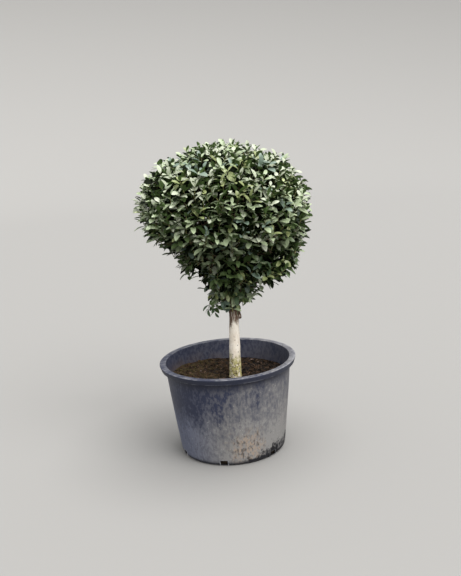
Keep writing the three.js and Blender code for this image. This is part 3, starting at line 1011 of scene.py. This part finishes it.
class TOPIARY_OT_soil(Operator):
    """Fills the pot with compost and strews crumbs, fibres and pebbles on it"""

    bl_idname = "topiary.soil"
    bl_label = "Fill with soil"

    def execute(self, context):
        soil = context.scene.topiary_soil
        rng = np.random.default_rng(soil.seed)
        tree = skin_of(["soil"])[0]
        earth = soil_material(soil)
        add_piece("soil_bed", soil_mesh(soil, tree), [earth], ["soil"])
        turns, places = scattered(rng, tree, soil.crumbs, 2.2 * MM, 9 * MM, 0.75, 0.18)
        kinds = rng.integers(0, 2, len(places))
        crumbs = joined_copies("soil_crumbs", crumb_shapes(), kinds, turns, places)
        add_piece("soil_crumbs", crumbs, [earth])
        turns, places = scattered(rng, tree, soil.fibres, 6 * MM, 22 * MM, 1.0, 0.06)
        kinds = rng.integers(0, 2, len(places))
        slivers = joined_copies("soil_fibres", fibre_shapes(), kinds, turns, places)
        fibre = plain_earth_material("soil fibre", soil.fibre, soil.brown)
        add_piece("soil_fibres", slivers, [fibre])
        spots = [(right * MM, back * MM, across * MM) for right, back, across in PEBBLES]
        turns = np.array([np.diag((1.25, 0.9, 0.6)) * across for _, _, across in spots])
        places = np.array([(x, y, soil_level(tree, x, y) + 0.3 * across) for x, y, across in spots])
        stones = joined_copies("pebbles", crumb_shapes(), np.array([0, 1, 0, 1]), turns, places)
        stone = plain_earth_material("pebble", soil.pebble, soil.brown, 90.0, 0.75)
        add_piece("pebbles", stones, [stone])
        return {"FINISHED"}


# ---- wood -------------------------------------------------------------------------------------
def points_of(name):
    """The points of a CAD node's mesh."""
    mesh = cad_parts[name].data
    co = np.empty(len(mesh.vertices) * 3)
    mesh.vertices.foreach_get("co", co)
    return co.reshape(-1, 3)


def centreline(name, root, steps):
    """A limb's middle line and radii, from its root outwards: [(place, radius), ...]."""
    co = points_of(name)
    reach = np.linalg.norm(co - root, axis=1)
    far = co[reach > reach.max() - 4 * MM].mean(0)
    along = (far - root) / np.linalg.norm(far - root)
    way = (co - root) @ along
    # The middle is the best curve of the second degree through the limb's points.
    bend = np.stack([way**0, way, way**2], 1)
    middle = np.linalg.lstsq(bend, co, rcond=None)[0]
    across = np.linalg.norm(co - bend @ middle, axis=1)
    outer = across > 0.7 * across.max()
    slope, thick = np.polyfit(way[outer], across[outer], 1)
    ways = np.linspace(way.min(), way.max(), steps)
    least = 1.2 * MM
    return [(np.array([1, w, w * w]) @ middle, float(max(thick + slope * w, least))) for w in ways]


def trunk_line():
    """The stem's middle line and radii, ring by ring up from the soil."""
    co = points_of("trunk")
    rings = {}
    for point in co:
        rings.setdefault(round(point[2], 4), []).append(point)
    line_points = []
    for height in sorted(rings):
        ring = np.unique(np.round(rings[height], 5), axis=0)
        middle = ring.mean(0)
        radius = np.linalg.norm(ring - middle, axis=1).max()
        if radius > MM:
            line_points.append((middle, float(radius) * 1.05))
    return line_points


def limb_lines():
    """Every bough's line, started inside the stem's knuckle."""
    stem = trunk_line()
    knuckle = stem[-1][0]
    lines = {}
    for name in BOUGHS:
        path = centreline(name, knuckle, 8)
        lines[name] = [(knuckle - np.array([0, 0, 6 * MM]), path[0][1])] + path
    return stem, lines


def stub_line(low, high):
    """The pruned stub's line and radii, from just under its box to just above it."""
    x, y, z = (low + high) / 2
    return [
        ((x + 1.4 * MM, y - MM, low[2] - 0.5 * MM), 3.6 * MM),
        ((x + 1.2 * MM, y - MM, z), 4.0 * MM),
        ((x - 1.0 * MM, y, high[2] + 3 * MM), 3.6 * MM),
    ]


def rough_bark(bm, wood):
    """Pushes the skin out and in: small lumps all over, with a few knots, flatter on the boughs."""
    bm.normal_update()
    for vert in bm.verts:
        drawn_out = Vector((vert.co.x, vert.co.y, vert.co.z * 0.35))
        lumps = wobble(drawn_out, 130.0) + 0.5 * wobble(drawn_out, 420.0, 4.0)
        knots = max(0.0, wobble(vert.co, 75.0, 8.0) - 0.35) * 2.2
        thin = 1.0 if vert.co.z < 0.31 else 0.6
        vert.co += vert.normal * wood.relief * thin * (lumps + knots)


def wood_mesh(wood, stem, lines):
    """Stem, boughs and stub fused into one skin, with the bark's relief and a flat lower end."""
    foot, foot_radius = stem[0]
    below = [(foot - np.array([0, 0, 3 * MM]), foot_radius)]
    low, high = (np.array(corner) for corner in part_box("pruned_stub"))
    limbs = [below + stem, stub_line(low, high), *lines.values()]
    skin = loose_object(tubes("wood skin", limbs, sides=14))
    weld = skin.modifiers.new("weld", "REMESH")
    weld.mode, weld.voxel_size, weld.use_smooth_shade = "VOXEL", wood.grain, True
    ease = skin.modifiers.new("ease", "SMOOTH")
    ease.factor, ease.iterations = 0.5, 4
    mesh = applied(skin)
    bm = bmesh.new()
    bm.from_mesh(mesh)
    bpy.data.meshes.remove(mesh)
    rough_bark(bm, wood)
    everything = bm.verts[:] + bm.edges[:] + bm.faces[:]
    cut = bmesh.ops.bisect_plane(
        bm, geom=everything, plane_co=(0, 0, foot[2]), plane_no=(0, 0, -1), clear_outer=True
    )
    rim = [item for item in cut["geom_cut"] if isinstance(item, bmesh.types.BMEdge)]
    bmesh.ops.holes_fill(bm, edges=rim, sides=0)
    bmesh.ops.triangulate(bm, faces=[face for face in bm.faces if len(face.verts) > 4])
    middle = (low + high) / 2
    for face in bm.faces:
        spot = face.calc_center_median()
        beside = abs(spot.y - middle[1]) < 4.5 * MM and spot.x > middle[0] - MM
        at_height = low[2] - MM < spot.z < high[2] + 3 * MM
        face.material_index = 1 if beside and at_height else 0
    return mesh_from(bm, "wood")


class TOPIARY_OT_wood(Operator):
    """Fuses the stem and boughs into one skin with the bark's relief"""

    bl_idname = "topiary.wood"
    bl_label = "Grow wood"

    def execute(self, context):
        wood = context.scene.topiary_wood
        stem, lines = limb_lines()
        dark = plain_earth_material("pruned stub", wood.stub, wood.stub_pale, 200.0)
        mesh = wood_mesh(wood, stem, lines)
        replaced = ["trunk", "pruned_stub", *BOUGHS]
        add_piece("stem_and_boughs", mesh, [bark_material(wood), dark], replaced)
        return {"FINISHED"}


# ---- crown ------------------------------------------------------------------------------------
# Points tried on the outermost skin for shoots.
TRIED_POINTS = 26000
# Leafy shoots are set on skins deeper and deeper inside the crown:
# (depth, spacing against the outermost, share kept).
LAYERS = [(0.0, 1.0, 1.0), (21 * MM, 1.15, 1.0), (42 * MM, 1.45, 0.95), (66 * MM, 2.0, 0.9)]
# Thin places that let one look into or through the crown: (centre, half sizes, share kept).
HOLLOWS = [
    ((0.060, -0.125, 0.462), (0.046, 0.05, 0.03), 0.4),
    ((0.115, -0.105, 0.440), (0.030, 0.04, 0.03), 0.35),
    ((-0.090, -0.100, 0.470), (0.030, 0.04, 0.03), 0.5),
    ((-0.062, -0.010, 0.405), (0.018, 0.12, 0.020), 0.0),
]
# Bands in which the crown is drawn in, or let out where the depth is below 0: (side, height and
# half the band's height in metres, depth in millimetres).
BANDS = [
    ("front", 0.445, 0.050, 20),
    ("left", 0.485, 0.050, 14),
    ("left", 0.420, 0.040, -9),
    ("right", 0.376, 0.024, 16),
    ("right", 0.425, 0.040, -8),
    ("near right", 0.352, 0.020, -24),
]
# The loose sprig in millimetres: where it forks off, and its twigs, each as (points outwards from
# there, pairs of leaves, leaf scale).
SPRIG_FORK = (2, -3, 318)
SPRIG_TWIGS = [
    ([(-6, -6, 334), (-17, -8, 342), (-27, -9, 339), (-30, -10, 332), (-33, -11, 322)], 2, 0.95),
    ([(-5, -7, 331), (-11, -9, 331), (-15, -10, 326), (-19, -12, 314)], 3, 0.9),
]
# Leaf shapes: (droop, fold along the midrib, twist).
LEAF_FORMS = [
    (0.18, 0.18, 0.0),
    (0.32, 0.10, 0.25),
    (0.08, 0.24, -0.2),
    (0.24, 0.18, -0.35),
    (0.40, 0.12, 0.1),
]
# How wide a pair of leaves opens, in degrees, and how full-grown it is, from the tip down.
OPENING = (38, 56, 66, 72, 76)
GROWN = (0.74, 0.95, 1.05, 1.0, 0.95)
# Leaf colours, and their shares at the foot and at the top of the crown, dealt out by shoot: the
# leaves' own mix, with paler tints at the top and darker ones low down as painted light and shade.
TINTS = ["deep", "blue", "mid", "olive", "young", "waxy", "shade", "dusky"]
DEALT_LOW = np.array([0.28, 0.23, 0.19, 0.08, 0.05, 0.06, 0.01, 0.10])
DEALT_HIGH = np.array([0.04, 0.07, 0.38, 0.08, 0.03, 0.40, 0.0, 0.0])
# The same for the older leaves of a shoot, and by the fork of the boughs; their near-black shade
# tint is painted shade.
OLD_TINTS = ["shade", "deep", "mid"]
OLD_LOW = np.array([0.6, 0.2, 0.2])
OLD_HIGH = np.array([0.24, 0.04, 0.72])
OLD_FORK = np.array([0.2, 0.3, 0.5])
# A shoot's leaves that count as young, from its tip down.
YOUNG_LEAVES = 4


class Shoot:
    """One leafy shoot: where it starts, where it ends, and how it is dressed."""

    def __init__(self, base, tip, pairs, leaf_scale, tint, mass):
        self.base, self.tip = base, tip
        self.pairs, self.leaf_scale = pairs, leaf_scale
        self.tint, self.mass = tint, mass


def unit(vector):
    """A vector's direction."""
    return vector / max(np.linalg.norm(vector), 1e-9)


def outward_ways(places, spine):
    """Directions and distances of places from the short upright spine inside the crown."""
    middle, low, high = spine
    from_spine = places - [middle, 0.0, 0.0]
    from_spine[:, 2] -= np.clip(places[:, 2], low, high)
    reach = np.linalg.norm(from_spine, axis=1)
    return from_spine / reach[:, None], reach


def outer_skin(rng, count):
    """Points spread evenly over the outside of the crown.

    Returns places, outward directions, reaches and the number of the mass that each belongs to.
    """
    names = DOME + SKIRT
    tree, points, faces, owner = skin_of(names)
    low, high = np.min(points, axis=0), np.max(points, axis=0)
    # How far to the right it stands, and the heights of its ends.
    spine = ((low[0] + high[0]) / 2, low[2] + 0.10, high[2] - 0.125)
    corners = np.array([[points[i] for i in face] for face in faces])
    cross = np.cross(corners[:, 1] - corners[:, 0], corners[:, 2] - corners[:, 0])
    area = np.linalg.norm(cross, axis=1)
    chosen = rng.choice(len(faces), count, p=area / area.sum())
    places = np.einsum("nk,nkj->nj", rng.dirichlet((1, 1, 1), count), corners[chosen])
    ways, reach = outward_ways(places, spine)
    facing = np.einsum("nj,nj->n", cross[chosen], ways) > 0.3 * area[chosen]
    bare = np.array([
        fine and tree.ray_cast(Vector(place + way * 0.4 * MM), Vector(way))[0] is None
        for fine, place, way in zip(facing, places, ways)
    ])
    return places[bare], ways[bare], reach[bare], np.array(owner)[chosen[bare]]


def spread_out(places, gap):
    """Indices of places that keep a least distance from each other, first come first served."""
    cells, kept = {}, []
    for index, place in enumerate(places):
        cell = tuple(np.floor(place / gap).astype(int))
        around = [
            other
            for dx in (-1, 0, 1) for dy in (-1, 0, 1) for dz in (-1, 0, 1)
            for other in cells.get((cell[0] + dx, cell[1] + dy, cell[2] + dz), ())
        ]
        if all(np.sum((places[other] - place) ** 2) > gap * gap for other in around):
            cells.setdefault(cell, []).append(index)
            kept.append(index)
    return kept


def share_kept(place):
    """The share of the shoots at a place that is kept: less in the hollows."""
    share = 1.0
    for centre, half, kept in HOLLOWS:
        if np.linalg.norm((place - centre) / half) < 1:
            share = min(share, kept)
    return share


def dealt_tint(rng, place, depth):
    """A colour for a shoot: it drifts with place, it is paler high up and darker low down as
    painted light and shade, and shoots deep in the crown are dark.
    """
    # Shoots deep in the crown take the near-black painted shade.
    if rng.random() < depth / (20 * MM):
        return TINTS.index("shade")
    drift = np.array([wobble(place, 16.0, 3.0 * k) for k in range(len(TINTS))])
    # Paler tints high and darker ones low: painted light and shade.
    high = np.clip((place[2] - 0.39) / 0.16, 0, 1)
    weights = (DEALT_LOW + (DEALT_HIGH - DEALT_LOW) * high) * np.exp(1.1 * drift)
    return int(rng.choice(len(TINTS), p=weights / weights.sum()))


def near_height(place, height, half):
    """1 at a height, falling to 0 at half a band above and below it."""
    return np.clip(1 - abs(place[2] - height) / half, 0, 1)


def recess(place, outward, leaf):
    """How far a shoot's tip stays behind the skin: more under overhangs, less at the fork."""
    under = 1 + 0.9 * max(0.0, -outward[2])
    sides = {
        "front": np.clip(-place[1] / 0.1, 0, 1),
        "left": np.clip(-place[0] / 0.06 - 0.7, 0, 1),
        "right": np.clip(place[0] / 0.04 - 0.8, 0, 1),
        "near right": np.clip(place[0] / 0.03 - 0.6, 0, 1),
    }
    drawn_in = sum(
        depth * near_height(place, height, half) * sides[side]
        for side, height, half, depth in BANDS
    )
    at_fork = np.clip((place[2] - 0.32) / 0.05, 0.2, 1)
    return (leaf.inset * under + drawn_in * MM) * at_fork


def crown_shoots(rng, leaf):
    """All shoots of the dome and skirt, layer by layer inwards."""
    shoots = []
    for depth, spacing, kept in LAYERS:
        outermost = depth == 0
        places, outwards, reach, masses = outer_skin(rng, int(TRIED_POINTS / spacing**2))
        for i in spread_out(places, leaf.spacing * spacing):
            outward = outwards[i]
            near = np.abs(places - places[i]).max(1) < 17 * MM
            crease = np.percentile(reach[near], 85) - reach[i]
            place = places[i] + outward * crease * 0.85 * np.clip(1 + 2.5 * outward[2], 0, 1)
            if rng.random() > share_kept(place) * kept:
                continue
            straggle = rng.gamma(2.0, 2.6 * MM) - 2 * MM if outermost else rng.normal(0, 5 * MM)
            lift, lean = (0.55, 0.7) if place[2] < 0.45 else (0.9, 0.6)
            wild = 0.3 if outermost else 0.6
            heading = unit(outward * lean + np.array([0, 0, lift]) + rng.normal(0, wild, 3))
            pairs = int(rng.integers(3, 5) if outermost else rng.integers(2, 4))
            length = (pairs - 1) * leaf.node_gap + 7 * MM
            tip = place - outward * (depth + straggle + recess(place, outward, leaf))
            leaf_scale = rng.normal(1.0, 0.10) * (1.0 if outermost else 1.2)
            tint = dealt_tint(rng, place, depth)
            if TINTS[tint] == "young":
                leaf_scale *= 0.85
            base = tip - heading * length
            shoots.append(Shoot(base, tip, pairs, leaf_scale, tint, int(masses[i])))
    return shoots


def grow(start, heading, bunch, rng, paths, path, thin):
    """Branching rule: head for the middle of a bunch of shoots, and split the bunch in two."""
    path.append((start, thin * len(bunch) ** 0.28))
    if len(bunch) == 1:
        shoot = bunch[0]
        base = shoot.base
        span = np.linalg.norm(base - start)
        bend = (start + base) / 2 + heading * span * 0.16 + rng.normal(0, 0.05 * span, 3)
        path.append((bend, thin * 0.95))
        path.append((base, thin * 0.8))
        return
    bases = np.array([shoot.base for shoot in bunch])
    away = bases.mean(0) - start
    far = np.linalg.norm(away)
    turn = unit(0.5 * heading + 0.5 * unit(away) + rng.normal(0, 0.12, 3))
    reach = far * rng.uniform(0.2, 0.34)
    knot = start + turn * reach
    spread = bases - bases.mean(0)
    widest = np.linalg.eigh(spread.T @ spread)[1][:, -1]
    order = np.argsort(spread @ widest)
    cut = min(max(int(round(len(bunch) * rng.uniform(0.35, 0.65))), 1), len(bunch) - 1)
    parts = [[bunch[i] for i in order[:cut]], [bunch[i] for i in order[cut:]]]
    parts.sort(key=len, reverse=True)
    grow(knot, turn, parts[0], rng, paths, path, thin)
    side = []
    paths.append(side)
    grow(knot, turn, parts[1], rng, paths, side, thin)


def grow_twigs(rng, wood, shoots, lines):
    """Joins every shoot to a bough: dome shoots from its end, skirt shoots from along it."""
    names = DOME + SKIRT
    paths = []
    bunches = {}
    spots = [(name, k) for name in BOUGHS for k in range(3, len(lines[name]))]
    marks = np.array([lines[name][k][0] for name, k in spots])
    # A skirt shoot joins its bough below its own height, so that its twig rises.
    lower = np.array([0, 0, 30 * MM])
    for shoot in shoots:
        mass = names[shoot.mass]
        if mass in DOME:
            bough = "bough_leader" if mass == "crown_top" else mass.replace("crown", "bough")
            key = (bough, len(lines[bough]) - 1)
        else:
            away = np.linalg.norm(marks - (shoot.base - lower), axis=1)
            key = spots[int(np.argmin(away))]
        bunches.setdefault(key, []).append(shoot)
    for (name, k), bunch in sorted(bunches.items(), key=lambda item: item[0]):
        start = lines[name][k][0]
        heading = unit(start - lines[name][k - 1][0])
        path = []
        paths.append(path)
        grow(start, heading, bunch, rng, paths, path, wood.twig_radius)
    return paths


def sprig_shoots():
    """The loose sprig under the left of the crown: its leafy shoots and their twigs."""
    sprig = len(DOME + SKIRT)
    shoots, paths = [], []
    for twig, pairs, scale in SPRIG_TWIGS:
        points = [np.array(point) * MM for point in [SPRIG_FORK, *twig]]
        thick = np.linspace(1.1, 0.45, len(points)) * MM
        paths.append(list(zip(points, thick)))
        shoots.append(Shoot(points[-2], points[-1], pairs, scale, TINTS.index("dusky"), sprig))
    return shoots, paths


def leaf_shape(droop, fold, twist):
    """A leaf one unit long and one wide: pointed at both ends and folded along its midrib."""
    bm = bmesh.new()
    bmesh.ops.create_uvsphere(bm, u_segments=4, v_segments=6, radius=0.5)
    for vert in bm.verts:
        way = vert.co.z + 0.5
        ring = math.hypot(vert.co.x, vert.co.y)
        side = vert.co.x / ring if ring > 1e-5 else 0.0
        top = vert.co.y / ring if ring > 1e-5 else 0.0
        width = math.sin(math.pi * way**1.05) ** 0.62 if 0.001 < way < 0.999 else 0.0
        across = 0.5 * side * width
        rise = 0.022 * top * width + fold * abs(across) - droop * way * way
        turn = twist * way
        vert.co = Vector((
            way * (1 - 0.25 * droop),
            across * math.cos(turn) - rise * 0.3 * math.sin(turn),
            rise + across * math.sin(turn),
        ))
    bmesh.ops.recalc_face_normals(bm, faces=bm.faces)
    for face in bm.faces:
        face.material_index = 0 if face.normal.z > 0 else len(TINTS)
    return mesh_from(bm, "leaf")


def leaf_frames(rng, leaf, shoot):
    """Turns and places of a shoot's leaves: crossed pairs that open out down the shoot."""
    axis = unit(shoot.tip - shoot.base)
    first = unit(np.cross(axis, rng.normal(0, 1, 3)))
    second = np.cross(axis, first)
    length = np.linalg.norm(shoot.tip - shoot.base)
    spin = rng.uniform(0, math.pi)
    frames = []
    for pair in range(shoot.pairs):
        node_place = shoot.tip - axis * min(pair * leaf.node_gap, length)
        open_angle = math.radians(OPENING[pair]) + rng.normal(0, 0.18)
        for half in (0, math.pi):
            around = spin + half + rng.normal(0, 0.22)
            radial = math.cos(around) * first + math.sin(around) * second
            along = unit(math.cos(open_angle) * axis + math.sin(open_angle) * radial)
            along[2] += rng.normal(0.0, 0.12) + 0.3 * max(0.0, -along[2])
            along = unit(along)
            facing = axis * 0.55 + np.array([0, 0, 0.85]) + rng.normal(0, 0.2, 3)
            normal = unit(facing - (facing @ along) * along)
            across = np.cross(normal, along)
            long_size = leaf.length * shoot.leaf_scale * GROWN[pair] * rng.normal(1.0, 0.09)
            wide_size = long_size * rng.normal(0.47, 0.035)
            turn = np.stack([along * long_size, across * wide_size, normal * long_size], 1)
            frames.append((turn, node_place + along * 0.6 * MM))
        spin += math.pi / 2
    return frames


def dress(rng, leaf, shoots, name, shapes):
    """All leaves of one mass as one mesh: each shoot in its own colour, its older leaves darker,
    many of them in the near-black painted shade.
    """
    turns, places, paint = [], [], []
    for shoot in shoots:
        high = np.clip((shoot.tip[2] - 0.42) / 0.12, 0, 1)
        fork = np.clip((0.39 - shoot.tip[2]) / 0.03, 0, 1)
        shares = OLD_LOW + (OLD_HIGH - OLD_LOW) * high + (OLD_FORK - OLD_LOW) * fork
        old = TINTS.index(rng.choice(OLD_TINTS, p=shares))
        for number, (turn, place) in enumerate(leaf_frames(rng, leaf, shoot)):
            turns.append(turn)
            places.append(place)
            young = number < YOUNG_LEAVES or TINTS[shoot.tint] == "shade"
            paint.append(shoot.tint if young else old)
    kinds = rng.integers(0, len(shapes), len(places))
    mesh = joined_copies(name, shapes, kinds, np.array(turns), np.array(places), np.array(paint))
    mesh.set_sharp_from_angle(angle=math.radians(50))
    return mesh


class TOPIARY_OT_crown(Operator):
    """Grows twigs and leafy shoots into every mass of foliage"""

    bl_idname = "topiary.crown"
    bl_label = "Grow crown"

    def execute(self, context):
        wood, leaf = context.scene.topiary_wood, context.scene.topiary_leaf
        rng = np.random.default_rng(leaf.seed)
        lines = limb_lines()[1]
        shoots = crown_shoots(rng, leaf)
        paths = grow_twigs(rng, wood, shoots, lines)
        sprig, sprig_paths = sprig_shoots()
        thin = wood.twig_radius
        bark = plain_earth_material("twig bark", wood.twig, wood.twig_pale, 160.0, 0.85)
        twigs = tubes("twigs", paths + sprig_paths)
        add_piece("twigs", twigs, [bark], ["sprig_twig"])
        stems = [[(s.base, 0.95 * thin), (s.tip, 0.6 * thin)] for s in shoots]
        green = plain_earth_material("green shoot bark", wood.green_wood, wood.twig, 110.0, 0.7)
        add_piece("shoot_stems", tubes("shoot stems", stems), [green])
        shapes = [leaf_shape(*form) for form in LEAF_FORMS]
        paints = [
            leaf_material("deep leaf", leaf.deep, 0.5, 0.4),
            leaf_material("blue leaf", leaf.blue, 0.5, 0.4),
            leaf_material("mid leaf", leaf.mid, 0.48, 0.5),
            leaf_material("olive leaf", leaf.olive, 0.48, 0.4),
            leaf_material("young leaf", leaf.young, 0.48, 0.3),
            leaf_material("waxy leaf", leaf.waxy, 0.52, 0.3),
            # Painted shade: near-black leaves with little gloss.
            leaf_material("shaded leaf", leaf.shade, 0.7, 0.0, 0.1),
            leaf_material("dusky leaf", leaf.dusky, 0.55, 0.2),
            # The underside colour is partly painted shade.
            leaf_material("leaf underside", leaf.under, 0.6, 0.0, 0.3),
        ]
        rng = np.random.default_rng(leaf.leaf_seed)
        for index, mass in enumerate(DOME + SKIRT + ["low_sprig"]):
            mine = sprig if mass == "low_sprig" else [s for s in shoots if s.mass == index]
            mesh = dress(rng, leaf, mine, mass + "_leaves", shapes)
            add_piece(mass + "_leaves", mesh, paints, [mass])
        return {"FINISHED"}


# ---- stage ------------------------------------------------------------------------------------
# Lights: (setting that holds the strength, how wide it looks in degrees, where it shines from).
LIGHTS = [
    ("key", 40, (1.10, -1.20, 1.45)),
    ("overhead", 36, (0.30, -0.02, 2.2)),
    ("front", 60, (0.30, -2.0, 0.45)),
]


def stage_floor(stage):
    """A round floor that curves up into a low wall far behind the plant on every side."""
    outline = line((0, 0), (4.4, 0), 12) + arc(4.4, 3.4, 3.4, -90, -8, 20)
    bm = turned(outline, 96)
    for face in bm.faces:
        if face.normal.z < -0.01:
            face.normal_flip()
    floor = loose_object(mesh_from(bm, "floor"))
    material, tree, shader, where = new_material("pale floor", roughness=0.95, specular=0.1)
    rising = ramp(tree, coordinates(tree, where)[2], 0.0, 2.2)
    far = tuple(1.08 * part for part in stage.floor)
    tree.links.new(mixed(tree, rising, stage.floor, far), shader.inputs["Base Color"])
    floor.data.materials.append(material)
    floor.visible_shadow = floor.visible_diffuse = False


def soft_light(name, power, width, place):
    """A broad soft light that shines on the plant from one side."""
    lamp = bpy.data.lights.new(name, "SUN")
    lamp.energy, lamp.angle, lamp.color = power, width, (1.0, 0.992, 0.98)
    thing = loose_object(lamp)
    thing.location = place
    thing.rotation_euler = (-thing.location).to_track_quat("-Z", "Y").to_euler()


def fill_light(stage):
    """A soft sky, brightest overhead and dim below the horizon."""
    world = bpy.data.worlds.new("soft sky")
    world.use_nodes = True
    tree = world.node_tree
    upward = coordinates(tree, tree.nodes.new("ShaderNodeTexCoord").outputs[0])[2]
    background = tree.nodes["Background"].inputs
    tree.links.new(ramp(tree, upward, -0.5, 0.9, 0.0, stage.sky), background["Strength"])
    background["Color"].default_value = (1.0, 1.0, 1.0, 1.0)
    bpy.context.scene.world = world


def stage_camera(stage):
    """The camera in front of the plant, looking a little down and tilted a little."""
    ahead = Vector((-math.sin(stage.yaw), math.cos(stage.yaw), 0))
    right = Vector((math.cos(stage.yaw), math.sin(stage.yaw), 0))
    forward = ahead * math.cos(stage.pitch) - UP * math.sin(stage.pitch)
    upward = ahead * math.sin(stage.pitch) + UP * math.cos(stage.pitch)
    side = right * math.cos(stage.roll) - upward * math.sin(stage.roll)
    top = right * math.sin(stage.roll) + upward * math.cos(stage.roll)
    data = bpy.data.cameras.new("camera")
    data.lens, data.sensor_width = stage.lens, 36
    data.clip_end = 50
    camera = loose_object(data)
    turn = Matrix((side, top, -forward)).transposed()
    camera.matrix_world = Matrix.Translation((0, -stage.distance, stage.height)) @ turn.to_4x4()
    bpy.context.scene.camera = camera


class TOPIARY_OT_stage(Operator):
    """Lays the pale floor and sets the soft lights and the camera"""

    bl_idname = "topiary.stage"
    bl_label = "Set stage"

    def execute(self, context):
        stage = context.scene.topiary_stage
        stage_floor(stage)
        context.scene.view_settings.view_transform = "Standard"
        for name, width, place in LIGHTS:
            soft_light(name, getattr(stage, name), math.radians(width), place)
        fill_light(stage)
        stage_camera(stage)
        return {"FINISHED"}


# ---- add-on -----------------------------------------------------------------------------------
class TOPIARY_PT_panel(Panel):
    """Lists the steps that build the topiary"""

    bl_idname = "TOPIARY_PT_panel"
    bl_label = "Topiary"
    bl_space_type = "VIEW_3D"
    bl_region_type = "UI"
    bl_category = "Topiary"

    def draw(self, context):
        for step in STEPS:
            self.layout.operator(step.bl_idname)


SETTINGS = {
    "topiary_pot": PotSettings,
    "topiary_soil": SoilSettings,
    "topiary_wood": WoodSettings,
    "topiary_leaf": LeafSettings,
    "topiary_stage": StageSettings,
}
STEPS = [TOPIARY_OT_stage, TOPIARY_OT_pot, TOPIARY_OT_soil, TOPIARY_OT_wood, TOPIARY_OT_crown]


def register():
    """Makes the classes and the scene's settings known."""
    for kind in [*SETTINGS.values(), *STEPS, TOPIARY_PT_panel]:
        bpy.utils.register_class(kind)
    for name, kind in SETTINGS.items():
        setattr(bpy.types.Scene, name, PointerProperty(type=kind))


def unregister():
    """Takes the settings and the classes away again."""
    for name in SETTINGS:
        delattr(bpy.types.Scene, name)
    for kind in reversed([*SETTINGS.values(), *STEPS, TOPIARY_PT_panel]):
        bpy.utils.unregister_class(kind)


def main():
    """Builds everything."""
    register()
    bpy.ops.topiary.stage()
    bpy.ops.topiary.pot()
    bpy.ops.topiary.soil()
    bpy.ops.topiary.wood()
    bpy.ops.topiary.crown()


if __name__ == "__main__":
    main()
